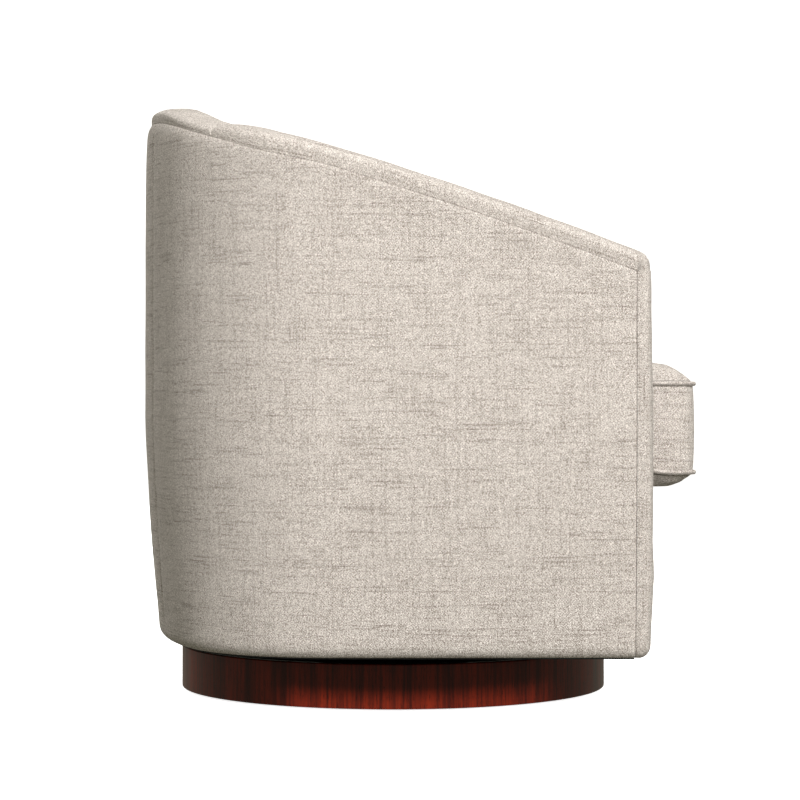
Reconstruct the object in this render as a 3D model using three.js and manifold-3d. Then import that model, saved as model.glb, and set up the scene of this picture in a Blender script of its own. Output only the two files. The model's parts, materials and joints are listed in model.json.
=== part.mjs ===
// Swivel barrel chair: an upholstered tub that turns on a round wooden plinth.
// Millimetres, +Z up, the front of the chair towards -Y.
// Everything is built round the swivel axis. The finished group is then moved along Y, so that its
// origin is the middle of the floor rectangle that the chair covers.
import * as THREE from 'three';
import { mergeVertices } from 'three/addons/utils/BufferGeometryUtils.js';
import Module from 'manifold-3d';

const wasm = await Module();
wasm.setup();

// Overall sizes, measured from the swivel axis and the floor
const overallWidth = 750;
const rearReach = 341.5;
const armFrontReach = 322;
const cushionOverhang = 66.5;
const fitGap = 0.3;
const cutOverrun = 5;

// Plan of the tub: straight sides, a corner arc and one wide arc across the back
const cornerRadius = 230;
const backPanelBulge = 2.5;
const arcJoinAngle = THREE.MathUtils.degToRad(23);
const armSeamAngle = THREE.MathUtils.degToRad(48);
const railJointTurn = THREE.MathUtils.degToRad(4);
const rearPostTurn = THREE.MathUtils.degToRad(4);
const backSeamAngle = THREE.MathUtils.degToRad(14.5);

// Slanted top line, as heights of its crest
const armFrontHeight = 583;
const crestFrontInset = 15;
const crestInset = 50;
const crestSlopeRise = 191;
const crestBow = 10.3;
const backRollRise = 16;
const backRollStartShare = 0.845;
const backRollEndShare = 0.985;

// Side wall of the tub, from outside to inside
const hemThickness = 3.5;
const hemWidth = 30;
const bottomRounding = 16;
const outerPadThickness = 14;
const frameThickness = 24;
const innerCoverThickness = 6;
const armWallThickness = 100;
const backWallThickness = 140;
const backWallTopThickness = 108;
const lumbarHeight = 400;
const baseTaper = 18;
const taperTopHeight = 380;
const taperPower = 1.5;

// Band along the top of the wall and down the front of each arm. It narrows round the corner to
// the back, where its crown leans towards the seat.
const bandDepth = 29;
const bandBackDepth = 21;
const bandFullAngle = THREE.MathUtils.degToRad(72);
const bandNarrowAngle = THREE.MathUtils.degToRad(42);
const bandLeanShare = 0.5;
const frontBandDepth = 19;
const frontBorderThickness = 10;
const frontBorderLift = 1.5;

// Wooden frame
const bottomRailHeight = 45;
const frontPostWidth = 45;
const topRailHeight = 40;
const seatRailHeight = 50;
const seatRailThickness = 24;
const battenWidth = 45;

// Seat deck and its springs
const deckHeight = 288;
const deckPadThickness = 27;
const springCount = 5;
const springEdgeSetback = 75;
const springWireRadius = 1.9;
const springWaveWidth = 44;
const springWaveLength = 44;
const springBendFlat = 10;
const springEndLength = 34;
const springClipWidth = 14;
const springClipLength = 18;

// Loose seat cushion
const cushionClearance = 1.5;
const lowerSeamRise = 23.7;
const boxingHeight = 105;
const crownRise = 33;
const lowerWeltDroop = 9;
const cushionCornerRadius = 30;
const cushionFrontBow = 3;
const cushionSideDraw = 1.5;
const cushionCoverThickness = 3;
const weltRadius = 2.8;
const crownPower = 13;

// Zip in the back of the cushion
const zipHalfAngle = THREE.MathUtils.degToRad(15);
const zipSlitHeight = 4;
const zipRunClearance = 1.4;
const sliderLength = 12;
const sliderHeight = 8;
const sliderThickness = 2;
const pullLength = 22;
const pullWidth = 7;

// Plinth
const plinthRadius = 292;
const plinthHeight = 60;
const plinthBandThickness = 12;
const plinthFloorGap = 2.5;
const plinthEdgeRounding = 1.5;
const topBoardThickness = 15;
const topBoardSetback = 0.5;
const bottomBoardThickness = 12;
const bottomBoardSetback = 3.5;
const glideRadius = 11;
const glidePinRadius = 2.5;
const glidePinLength = 8;
const glideSetback = 47;
const glideCount = 4;

// Swivel: two plates, a ring of balls in a cage, a king bolt and its nut
const plateWidth = 200;
const plateThickness = 3;
const plateCornerRadius = 12;
const screwEdgeDistance = 15;
const screwRadius = 2.5;
const screwHeadRadius = 6;
const screwCrownRadius = 3.6;
const screwHeadThickness = 3;
const lowerScrewLength = 14;
const upperScrewLength = 28;
const ballCount = 12;
const ballDiameter = 8;
const raceWidth = 22;
const raceHeight = 1.3;
const raceEdgeDistance = 12;
const cageWidth = 14;
const cageThickness = 2.5;
const kingBoltRadius = 6;
const kingBoltPlay = 0.6;
const kingHeadRadius = 11;
const kingHeadThickness = 5;
const kingNutRadius = 10;
const kingNutThickness = 8;
const boltTipLength = 2;
const dustCoverThickness = 1.4;
const dustCoverPlateGap = 1.5;

// Fineness of the round shapes
const plinthSegments = 72;
const boardSegments = 36;
const plateSegments = 24;
const smallSegments = 10;
const weltSides = 5;
const wireSides = 4;
const nutSides = 6;

// Heights and places that follow from the sizes above
const halfWidth = overallWidth / 2;
const quarterTurn = Math.PI / 2;
const cushionFrontReach = armFrontReach + cushionOverhang;
const railJointAngle = armSeamAngle - railJointTurn;
const rearPostAngle = railJointAngle - rearPostTurn;
const outlineRear = rearReach - backPanelBulge;
const cornerCentreX = halfWidth - cornerRadius;
const rearArcRadius = cornerRadius + cornerCentreX / Math.sin(arcJoinAngle);
const rearArcCentreY = outlineRear - rearArcRadius;
const cornerCentreY = rearArcCentreY + (rearArcRadius - cornerRadius) * Math.cos(arcJoinAngle);
const frontSeamY = -armFrontReach + frontBandDepth;
const wallFrontY = frontSeamY + fitGap;
const topBoardTop = plinthHeight - topBoardSetback;
const lowerPlateBottom = topBoardTop + fitGap;
const lowerPlateTop = lowerPlateBottom + plateThickness;
const upperPlateBottom = lowerPlateTop + ballDiameter + 2 * (raceHeight + fitGap);
const upperPlateTop = upperPlateBottom + plateThickness;
const railBottom = upperPlateTop + fitGap;
const bodyBottomHeight = railBottom - fitGap - hemThickness;
const railTop = railBottom + bottomRailHeight;
const frameOuter = outerPadThickness + fitGap;
const frameInner = frameOuter + frameThickness;
const foamOuter = frameInner + fitGap;
const deckPadBottom = deckHeight - deckPadThickness;
const seatRailTop = deckPadBottom - 2 * fitGap - 2 * springWireRadius;
const springLevel = seatRailTop + fitGap + springWireRadius;
const ballLevel = (lowerPlateTop + upperPlateBottom) / 2;
const ballCircleRadius = plateWidth / 2 - raceEdgeDistance - raceWidth / 2;
const screwSpacing = plateWidth - 2 * screwEdgeDistance;
const springSpacing =
  (overallWidth - 2 * (armWallThickness + springEdgeSetback)) / (springCount - 1);
const cushionBottom = deckHeight + fitGap;
const lowerWeltHeight = cushionBottom + lowerSeamRise;
const upperWeltHeight = lowerWeltHeight + boxingHeight;
const cushionTopHeight = upperWeltHeight + crownRise;
const zipHeight = (lowerWeltHeight + upperWeltHeight) / 2;
const cushionMiddleY = (rearReach - backWallThickness - cushionFrontReach) / 2;

// Looks: fabric, wood, foam and metal
const finishes = {
  linen: { color: 0xd5cbc2, roughness: 0.95, metalness: 0 },
  piping: { color: 0xcdc2b7, roughness: 0.95, metalness: 0 },
  foam: { color: 0xe9e2cf, roughness: 0.9, metalness: 0 },
  frameWood: { color: 0xc9a878, roughness: 0.7, metalness: 0 },
  board: { color: 0x1d1512, roughness: 0.75, metalness: 0 },
  plinthVeneer: { color: 0x4a1c14, roughness: 0.25, metalness: 0 },
  steel: { color: 0x9b9da0, roughness: 0.4, metalness: 0.9 },
  cambric: { color: 0x1b1b1c, roughness: 0.95, metalness: 0 },
  nylon: { color: 0x26262a, roughness: 0.6, metalness: 0 },
};

// A closed geometry from points and triangles, with its faces turned outwards
function closedGeometry(points, faces) {
  const a = new THREE.Vector3();
  const b = new THREE.Vector3();
  const c = new THREE.Vector3();
  const volume = faces.reduce((sum, [i, j, k]) => {
    a.fromArray(points[i]);
    b.fromArray(points[j]);
    c.fromArray(points[k]);
    return sum + a.dot(b.cross(c));
  }, 0);
  const outward = volume < 0 ? faces.map(([i, j, k]) => [i, k, j]) : faces;
  const geometry = new THREE.BufferGeometry();
  geometry.setAttribute('position', new THREE.Float32BufferAttribute(points.flat(), 3));
  geometry.setIndex(outward.flat());
  return geometry;
}

// The shared vertices of a three.js geometry merged, and its faces turned outwards
function welded(geometry) {
  const plain = geometry.clone();
  plain.deleteAttribute('normal');
  plain.deleteAttribute('uv');
  const merged = mergeVertices(plain);
  const places = merged.attributes.position;
  const points = [];
  for (let i = 0; i < places.count; i += 1) {
    points.push([places.getX(i), places.getY(i), places.getZ(i)]);
  }
  const corners = [...merged.index.array];
  const faces = [];
  for (let i = 0; i < corners.length; i += 3) {
    const face = corners.slice(i, i + 3);
    if (new Set(face).size === face.length) faces.push(face);
  }
  return closedGeometry(points, faces);
}

function solidOf(geometry) {
  const closed = welded(geometry);
  return new wasm.Manifold(new wasm.Mesh({
    numProp: 3,
    vertProperties: closed.attributes.position.array,
    triVerts: new Uint32Array(closed.index.array),
  }));
}

function geometryOf(solid) {
  const mesh = solid.getMesh();
  const geometry = new THREE.BufferGeometry();
  geometry.setAttribute('position', new THREE.BufferAttribute(mesh.vertProperties, 3));
  geometry.setIndex(new THREE.BufferAttribute(mesh.triVerts, 1));
  return geometry;
}

function cut(geometry, ...tools) {
  return geometryOf(tools.reduce((rest, tool) => rest.subtract(solidOf(tool)), solidOf(geometry)));
}

function joined(...pieces) {
  return geometryOf(pieces.map(solidOf).reduce((sum, piece) => sum.add(piece)));
}

// Triangles between neighbouring rings of points. A twisted square is split from the corner that
// lies further along the lean, so that two skins a small gap apart fold in the same way.
const foldLean = new THREE.Vector3(0.31, 0.17, 1);

function bands(rings, closes) {
  const count = rings[0].length;
  const faces = [];
  const edge = new THREE.Vector3();
  for (let i = 0; i < (closes ? rings.length : rings.length - 1); i += 1) {
    const near = i * count;
    const far = ((i + 1) % rings.length) * count;
    for (let j = 0; j < count; j += 1) {
      const k = (j + 1) % count;
      edge.fromArray(rings[i][k]).sub(new THREE.Vector3(...rings[i][j]));
      if (edge.dot(foldLean) < 0) {
        faces.push([near + j, near + k, far + k], [near + j, far + k, far + j]);
      } else {
        faces.push([near + j, near + k, far + j], [near + k, far + k, far + j]);
      }
    }
  }
  return faces;
}

// A solid swept through rings. Each ring goes up one side of a section and back down the other
// side in as many steps, so a ladder of triangles between the sides closes each end.
function swept(rings) {
  const count = rings[0].length;
  const last = (rings.length - 1) * count;
  const faces = bands(rings, false);
  for (let i = 0; i < count / 2 - 1; i += 1) {
    const across = count - 1 - i;
    faces.push([across, i + 1, i], [across, across - 1, i + 1]);
    faces.push([last + i, last + i + 1, last + across]);
    faces.push([last + i + 1, last + across - 1, last + across]);
  }
  return closedGeometry(rings.flat(), faces);
}

// The same with domed sections, whose first point sees all the others
function sweptDome(rings) {
  const count = rings[0].length;
  const last = (rings.length - 1) * count;
  const faces = bands(rings, false);
  for (let i = 1; i < count - 1; i += 1) {
    faces.push([0, i + 1, i], [last, last + i, last + i + 1]);
  }
  return closedGeometry(rings.flat(), faces);
}

// A closed loop through rings
function looped(rings) {
  return closedGeometry(rings.flat(), bands(rings, true));
}

function box(width, depth, height, x, y, bottom) {
  const geometry = new THREE.BoxGeometry(width, depth, height);
  geometry.translate(x, y, bottom + height / 2);
  return geometry;
}

// A turned piece from [radius, height] pairs, standing on the Z axis
function turned(profile, segments) {
  const points = profile.map(([radius, height]) => new THREE.Vector2(radius, height));
  const geometry = new THREE.LatheGeometry(points, segments);
  geometry.rotateX(quarterTurn);
  return welded(geometry);
}

function disc(radius, bottom, top, segments) {
  return turned([[0, bottom], [radius, bottom], [radius, top], [0, top]], segments);
}

function ring(inner, outer, bottom, top, segments) {
  const corners = [[inner, bottom], [outer, bottom], [outer, top], [inner, top]];
  return turned([...corners, corners[0]], segments);
}

// A flat plate from a plan outline of [x, y] pairs
function plate(outline, bottom, thickness) {
  const shape = new THREE.Shape(outline.map(([x, y]) => new THREE.Vector2(x, y)));
  const geometry = new THREE.ExtrudeGeometry(shape, { depth: thickness, bevelEnabled: false });
  geometry.translate(0, 0, bottom);
  return geometry;
}

function smooth(share) {
  return THREE.MathUtils.smoothstep(share, 0, 1);
}

function evenSteps(from, to, count) {
  return Array.from({ length: count }, (_, i) => from + ((to - from) * (i + 1)) / count);
}

function mirrored(points) {
  return points.map(([x, y]) => [-x, y]).reverse();
}

// Height of the crest of the wall where its crest lies at this y
function crestHeight(y) {
  const front = -armFrontReach + crestFrontInset;
  const rear = outlineRear - crestInset;
  const t = (y - front) / (rear - front);
  const roll = smooth((t - backRollStartShare) / (backRollEndShare - backRollStartShare));
  return armFrontHeight + crestSlopeRise * t + crestBow * 4 * t * (1 - t) + backRollRise * roll;
}

// How far the wall draws in towards the floor
function taper(height) {
  const share = Math.max(0, (taperTopHeight - height) / (taperTopHeight - bodyBottomHeight));
  return baseTaper * share ** taperPower;
}

// A station is a place on the outer outline with its outward direction. The angle is that of the
// direction, counted from straight back, positive on the right.
function arcStation(angle) {
  const onRear = Math.abs(angle) <= arcJoinAngle;
  const centreX = onRear ? 0 : Math.sign(angle) * cornerCentreX;
  const centreY = onRear ? rearArcCentreY : cornerCentreY;
  const radius = onRear ? rearArcRadius : cornerRadius;
  const nx = Math.sin(angle);
  const ny = Math.cos(angle);
  return { x: centreX + radius * nx, y: centreY + radius * ny, nx, ny, angle };
}

function sideStation(side, y) {
  return { x: side * halfWidth, y, nx: side, ny: 0, angle: side * quarterTurn };
}

// The angles at which the wall is divided, from the straight side to the middle of the back
const wallAngles = [
  quarterTurn,
  ...evenSteps(quarterTurn, armSeamAngle, 4),
  railJointAngle,
  rearPostAngle,
  ...evenSteps(rearPostAngle, arcJoinAngle, 2),
  backSeamAngle,
  ...evenSteps(backSeamAngle, 0, 3),
];

function halfGapAngle(angle) {
  return fitGap / 2 / (angle <= arcJoinAngle ? rearArcRadius : cornerRadius);
}

// Stations from the front of one arm round to a seam
function armRun(side, endAngle) {
  const sideYs = [
    wallFrontY,
    wallFrontY + frontPostWidth,
    ...evenSteps(wallFrontY + frontPostWidth, cornerCentreY, 3).slice(0, -1),
  ];
  const angles = wallAngles.filter((angle) => angle > endAngle);
  return [
    ...sideYs.map((y) => sideStation(side, y)),
    ...angles.map((angle) => arcStation(side * angle)),
    arcStation(side * (endAngle + halfGapAngle(endAngle))),
  ];
}

// Stations across the back from a seam on the left to its twin on the right
function backRun(endAngle) {
  const half = [
    endAngle - halfGapAngle(endAngle),
    ...wallAngles.filter((angle) => angle < endAngle && angle > 0),
  ];
  const right = [...half].reverse();
  return [...half.map((angle) => -angle), 0, ...right].map(arcStation);
}

function planPoint(station, inset) {
  return [station.x - station.nx * inset, station.y - station.ny * inset];
}

// A point of the wall. The taper share says how far it follows the wall's taper.
function wallPoint(station, inset, height, taperShare) {
  return [...planPoint(station, inset + taperShare * taper(height)), height];
}

function stationCrest(station) {
  return crestHeight(planPoint(station, crestInset)[1]);
}

function bandDepthAt(station) {
  const turn = (bandFullAngle - Math.abs(station.angle)) / (bandFullAngle - bandNarrowAngle);
  return THREE.MathUtils.lerp(bandDepth, bandBackDepth, smooth(turn));
}

// Height of the seam between the wall's covers and the band
function bandSeamHeight(station) {
  return stationCrest(station) - bandDepthAt(station);
}

// Thickness of the wall at a station, full at the lumbar height and less at the top of the back
function wallThickness(station, height) {
  const turn = (quarterTurn - Math.abs(station.angle)) / (quarterTurn - arcJoinAngle);
  const round = smooth(Math.min(1, turn));
  const top = bandSeamHeight(station);
  const rise = THREE.MathUtils.clamp((height - lumbarHeight) / (top - lumbarHeight), 0, 1);
  const full = THREE.MathUtils.lerp(backWallThickness, backWallTopThickness, rise);
  return THREE.MathUtils.lerp(armWallThickness, full, round);
}

// A solid swept along stations. Its section is a list of [inset, height, taper share].
function wallRings(stations, section) {
  return stations.map((station) =>
    section(station).map(([inset, height, share]) => wallPoint(station, inset, height, share)));
}

function wallPiece(stations, section) {
  return swept(wallRings(stations, section));
}

// Heights at which the lower wall bends with its taper
const taperLevelShares = [0.35, 0.68, 1];
const taperLevels = taperLevelShares.map((share) =>
  THREE.MathUtils.lerp(railTop, taperTopHeight, share));
const bulgeLevelShares = [0.3, 0.65];

// Outward swell of the outside back between its seams
function panelBulge(station, height) {
  const across = 1 - (station.angle / backSeamAngle) ** 4;
  const top = bandSeamHeight(station);
  const up = (height - railTop) / (top - railTop);
  return backPanelBulge * Math.max(0, across) * Math.sin(Math.PI * THREE.MathUtils.clamp(up, 0, 1)) ** 0.5;
}

function outsideCoverSection(bulge) {
  return (station) => {
    const top = bandSeamHeight(station) - fitGap;
    const upper = bulgeLevelShares.map((share) => THREE.MathUtils.lerp(taperTopHeight, top, share));
    const levels = [railTop, ...taperLevels, ...upper];
    const rounding = [0, 1, 2, 3].map((step) => {
      const angle = (quarterTurn * step) / 3;
      return [
        bottomRounding * (1 - Math.sin(angle)),
        bodyBottomHeight + bottomRounding * (1 - Math.cos(angle)),
        1,
      ];
    });
    return [
      [hemWidth, bodyBottomHeight, 1],
      ...rounding,
      ...levels.map((height) => [-bulge(station, height), height, 1]),
      [0, top, 1],
      [outerPadThickness, top, 1],
      ...[...levels].reverse().map((height) => [outerPadThickness, height, 1]),
      [outerPadThickness, bodyBottomHeight + bottomRounding, 1],
      [outerPadThickness, bodyBottomHeight + (hemThickness + bottomRounding) / 2, 1],
      [outerPadThickness, bodyBottomHeight + hemThickness, 1],
      [bottomRounding, bodyBottomHeight + hemThickness, 1],
      [hemWidth, bodyBottomHeight + hemThickness, 1],
    ];
  };
}

function noBulge() {
  return 0;
}

// A strip of the wooden frame between two heights, which may follow the station
function frameSection(bottomOf, topOf) {
  return (station) => {
    const bottom = bottomOf(station);
    const top = topOf(station);
    const levels = [bottom, ...taperLevels.filter((level) => level > bottom && level < top), top];
    return [
      ...levels.map((height) => [frameOuter, height, 1]),
      ...[...levels].reverse().map((height) => [frameInner, height, 1]),
    ];
  };
}

const bottomRailSection = frameSection(() => railBottom, () => railTop);
const topRailTopOf = (station) => bandSeamHeight(station) - fitGap;
const topRailBottomOf = (station) => topRailTopOf(station) - topRailHeight;
const topRailSection = frameSection(topRailBottomOf, topRailTopOf);
const postSection = frameSection(
  () => railTop + fitGap,
  (station) => topRailBottomOf(station) - fitGap,
);

// Heights of the inside face of the wall
const insideLevelShares = [0, 0.25, 0.5, 0.75, 1];

function insideLevels(station) {
  const top = bandSeamHeight(station) - fitGap;
  return [
    deckPadBottom,
    ...insideLevelShares.map((share) => THREE.MathUtils.lerp(lumbarHeight, top, share)),
  ];
}

function foamSection(station) {
  const levels = insideLevels(station);
  const inner = innerCoverThickness + fitGap;
  return [
    ...levels.map((height) => [wallThickness(station, height) - inner, height, 0]),
    ...[...levels].reverse().map((height) => [foamOuter, height, 1]),
  ];
}

function insideCoverSection(station) {
  const levels = insideLevels(station);
  return [
    ...levels.map((height) => [wallThickness(station, height), height, 0]),
    ...[...levels].reverse().map((height) =>
      [wallThickness(station, height) - innerCoverThickness, height, 0]),
  ];
}

// Domed section of the band: shares of the wall's thickness and of the band's depth
const outerCrownShares = [[0.36, 1], [0.15, 0.93], [0.04, 0.72], [0, 0.4], [0, 0]];
const innerCrownShares = [[1, 0], [1, 0.4], [0.96, 0.72], [0.85, 0.93], [0.64, 1]];

// The flat base is divided where the layers of the wall below it meet
function bandOutline(width) {
  const crown = ([across, up]) => [width * across, up];
  return [
    ...outerCrownShares.map(crown),
    [outerPadThickness + fitGap / 2, 0],
    [frameInner + fitGap / 2, 0],
    [width - innerCoverThickness - fitGap / 2, 0],
    ...innerCrownShares.map(crown),
  ];
}

function bandSection(station) {
  const base = bandSeamHeight(station);
  const width = wallThickness(station, base);
  return bandOutline(width).map(([inset, up]) => {
    const drop = crestHeight(planPoint(station, inset)[1]) - stationCrest(station);
    const depth = bandDepthAt(station) + bandLeanShare * Math.min(0, drop);
    return [inset, base + depth * up, 0];
  });
}

// How far the rounded lower edge of the body draws in at a height
function footRounding(height) {
  const share = Math.max(0, 1 - (height - bodyBottomHeight) / bottomRounding);
  return bottomRounding * (1 - Math.sqrt(1 - share ** 2));
}

// Rings of the band where it turns over the front of an arm and runs down to the hem. The band is
// full at most of these places, and flatter at the turn and towards its foot. The steps of the
// foot are shares of the rounding's height.
const footSteps = [
  { heightShare: 1, fullnessShare: 1 },
  { heightShare: 0.5, fullnessShare: 0.93 },
  { heightShare: 0.13, fullnessShare: 0.7 },
  { heightShare: 0, fullnessShare: 0.4 },
];

function frontBandRings(side) {
  const topOfFront = crestHeight(frontSeamY);
  const levels = [topOfFront - 2 * bandDepth, ...[...taperLevels].reverse(), railTop];
  const places = [
    { height: topOfFront - bandDepth, rise: bandDepth, fullnessShare: 0.86 },
    ...levels.map((height) => ({ height, rise: 0, fullnessShare: 1 })),
    ...footSteps.map(({ heightShare, fullnessShare }) =>
      ({ height: bodyBottomHeight + bottomRounding * heightShare, rise: 0, fullnessShare })),
  ];
  const outline = bandOutline(armWallThickness);
  return places.map(({ height, rise, fullnessShare }) => outline.map(([inset, up]) => {
    const level = height + rise * up * fullnessShare;
    const follow = (taper(level) + footRounding(level)) * (1 - inset / armWallThickness);
    const y = frontSeamY - frontBandDepth * up * fullnessShare;
    return [side * (halfWidth - inset - follow), y, level];
  }));
}

function armBand(side) {
  const topRings = wallRings(armRun(side, armSeamAngle), bandSection);
  return sweptDome([...frontBandRings(side).reverse(), ...topRings]);
}

// Everything of the wall out to the inner face of the frame, as a tool that trims crossing rails
function wallZone() {
  const stations = [
    ...[wallFrontY - frontBandDepth, wallFrontY, wallFrontY + frontPostWidth]
      .map((y) => sideStation(-1, y)),
    ...armRun(-1, 0).slice(2, -1),
    arcStation(0),
    ...[...armRun(1, 0)].reverse().slice(1, -2),
    ...[wallFrontY + frontPostWidth, wallFrontY, wallFrontY - frontBandDepth]
      .map((y) => sideStation(1, y)),
  ];
  const levels = [bodyBottomHeight, railBottom, railTop, ...taperLevels];
  const outer = -cornerRadius;
  return wallPiece(stations, () => [
    ...levels.map((height) => [foamOuter, height, 1]),
    ...[...levels].reverse().map((height) => [outer, height, 1]),
  ]);
}

// Plan outline inside the wall, closed straight across at this y
function insideOutline(insetOf, frontY) {
  const right = [sideStation(1, frontY), ...armRun(1, 0).slice(1, -1)]
    .map((station) => planPoint(station, insetOf(station)));
  return [...right, planPoint(arcStation(0), insetOf(arcStation(0))), ...mirrored(right)];
}

// Seat cushion: its seam line in plan, with rounded front corners and a slightly bowed front.
// The welts lie outside this line.
const seamSetback = 2 * weltRadius + fitGap;
const frontBowShares = [0.66, 0.33];

function cushionSeamInset(station) {
  return wallThickness(station, deckHeight) + cushionClearance + seamSetback;
}

function cushionOutline() {
  const sideX = halfWidth - armWallThickness - cushionClearance - seamSetback;
  const frontY = -cushionFrontReach + seamSetback;
  const cornerY = frontY + cushionFrontBow + cushionCornerRadius;
  const cornerX = sideX - cushionCornerRadius;
  const corner = [0, 1, 2, 3, 4].map((step) => {
    const angle = (quarterTurn * step) / 4;
    return [
      cornerX + cushionCornerRadius * Math.cos(angle),
      cornerY - cushionCornerRadius * Math.sin(angle),
    ];
  });
  const bow = frontBowShares.map((share) =>
    [cornerX * share, frontY + cushionFrontBow * share ** 2]);
  const frontHalf = [[0, frontY], ...[...bow].reverse(), ...[...corner].reverse()];
  const backHalf = armRun(1, 0).slice(1, -1)
    .map((station) => planPoint(station, cushionSeamInset(station)));
  const right = [...frontHalf, ...backHalf];
  const left = mirrored(right.slice(1));
  return [...right, planPoint(arcStation(0), cushionSeamInset(arcStation(0))), ...left];
}

// The lower seam hangs a little where the cushion reaches past the arms
function lowerSeamHeight(y) {
  const past = (-armFrontReach + cushionCornerRadius - y) / (cushionFrontReach - armFrontReach);
  return lowerWeltHeight - lowerWeltDroop * smooth(past);
}

// Crown of the cushion: rings as shares of the outline. The foam inside needs fewer of them.
const coverRings = { crownShares: [0.975, 0.93, 0.85, 0.6], boxingShares: [0.25, 0.5, 0.75] };
const foamRings = { crownShares: [0.94, 0.7], boxingShares: [0.5] };

function cushionForm(inset, { crownShares, boxingShares }) {
  const outline = cushionOutline();
  const middle = [0, cushionMiddleY];
  const halfDepth = cushionFrontReach + cushionMiddleY;
  const shrink = 1 - inset / halfDepth;
  const ringAt = (share, levelOf) => outline.map(([x, y]) => {
    const scaledX = middle[0] + (x - middle[0]) * share * shrink;
    const scaledY = middle[1] + (y - middle[1]) * share * shrink;
    return [scaledX, scaledY, levelOf(y)];
  });
  const topLevel = (share) => upperWeltHeight
    + (cushionTopHeight - inset - upperWeltHeight) * (1 - share ** crownPower);
  const bottomLevel = (share) => (y) => THREE.MathUtils.lerp(
    cushionBottom + inset,
    lowerSeamHeight(y),
    share ** crownPower,
  );
  const drawShare = (share) => 1 - (cushionSideDraw / halfDepth) * Math.sin(Math.PI * share);
  const rings = [
    ...[...crownShares].reverse().map((share) => ringAt(share, bottomLevel(share))),
    ringAt(1, lowerSeamHeight),
    ...boxingShares.map((share) => ringAt(drawShare(share), (y) =>
      THREE.MathUtils.lerp(lowerSeamHeight(y), upperWeltHeight, share))),
    ringAt(1, () => upperWeltHeight),
    ...crownShares.map((share) => ringAt(share, () => topLevel(share))),
  ];
  const count = outline.length;
  const points = rings.flat();
  const bottomMiddle = points.push([...middle, cushionBottom + inset]) - 1;
  const topMiddle = points.push([...middle, cushionTopHeight - inset]) - 1;
  const faces = bands(rings, false);
  const last = (rings.length - 1) * count;
  for (let j = 0; j < count; j += 1) {
    const k = (j + 1) % count;
    faces.push([bottomMiddle, k, j], [topMiddle, last + j, last + k]);
  }
  return closedGeometry(points, faces);
}

// A welt along a seam of the cushion, which the height function gives
function cushionWelt(levelOf) {
  const outline = cushionOutline();
  const count = outline.length;
  const offset = weltRadius + fitGap;
  return looped(outline.map(([x, y], i) => {
    const before = outline[(i + count - 1) % count];
    const after = outline[(i + 1) % count];
    const along = new THREE.Vector2(after[0] - before[0], after[1] - before[1]).normalize();
    return Array.from({ length: weltSides }, (_, j) => {
      const angle = (2 * Math.PI * j) / weltSides;
      const out = offset + weltRadius * Math.cos(angle);
      return [x + along.y * out, y - along.x * out, levelOf(y) + weltRadius * Math.sin(angle)];
    });
  }));
}

// The zip lies on the wide arc of the back, so its slider turns about the centre of that arc
const boxingRadius = rearArcRadius - cushionSeamInset(arcStation(0)) - cushionSideDraw;

function zipSlit() {
  const inner = boxingRadius - cushionCoverThickness - cutOverrun;
  const outer = boxingRadius + cutOverrun;
  const reach = zipHalfAngle + sliderLength / boxingRadius;
  const rings = [-1, ...evenSteps(-1, 1, 8)].map((share) => {
    const nx = Math.sin(reach * share);
    const ny = Math.cos(reach * share);
    const corner = (radius, up) =>
      [radius * nx, rearArcCentreY + radius * ny, zipHeight + (zipSlitHeight / 2) * up];
    return [corner(inner, -1), corner(outer, -1), corner(outer, 1), corner(inner, 1)];
  });
  return swept(rings);
}

// Slider of the zip: a neck in the slit, a plate outside it and a pull that hangs down
function zipSlider() {
  const plateInner = boxingRadius + zipRunClearance;
  const neckInner = boxingRadius - cushionCoverThickness / 2;
  const neckHeight = zipSlitHeight - 2 * fitGap;
  const neckDepth = plateInner + sliderThickness - neckInner;
  const plateMiddle = plateInner + sliderThickness / 2;
  const geometry = joined(
    box(sliderLength / 2, neckDepth, neckHeight, 0, neckInner + neckDepth / 2, zipHeight - neckHeight / 2),
    box(sliderLength, sliderThickness, sliderHeight, 0, plateMiddle, zipHeight - sliderHeight / 2),
    box(pullWidth, sliderThickness, pullLength, 0, plateMiddle, zipHeight - pullLength),
  );
  geometry.rotateZ(zipHalfAngle);
  geometry.translate(0, rearArcCentreY, 0);
  return geometry;
}

// A zigzag spring from the front rail to the back one, with a clip on each end
function deckSpring(x) {
  const frontEnd = wallFrontY + 2 * fitGap;
  const backEnd = backRailFrontY + seatRailThickness - 2 * fitGap;
  const waveFront = frontEnd + springEndLength;
  const waveBack = backEnd - springEndLength;
  const bends = 2 * Math.round((waveBack - waveFront) / springWaveLength);
  const pitch = (waveBack - waveFront) / bends;
  const path = [[x, frontEnd], [x, waveFront - springBendFlat]];
  for (let i = 0; i < bends; i += 1) {
    const bendX = x + (i % 2 ? 1 : -1) * (springWaveWidth / 2);
    const bendY = waveFront + pitch * (i + 0.5);
    path.push([bendX, bendY - springBendFlat / 2], [bendX, bendY + springBendFlat / 2]);
  }
  path.push([x, waveBack + springBendFlat], [x, backEnd]);
  const bottom = springLevel - springWireRadius;
  const clip = (y) => box(springClipWidth, springClipLength, 2 * springWireRadius, x, y, bottom);
  return joined(
    wire(path, springLevel),
    clip(frontEnd + springClipLength / 2),
    clip(backEnd - springClipLength / 2),
  );
}

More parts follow.
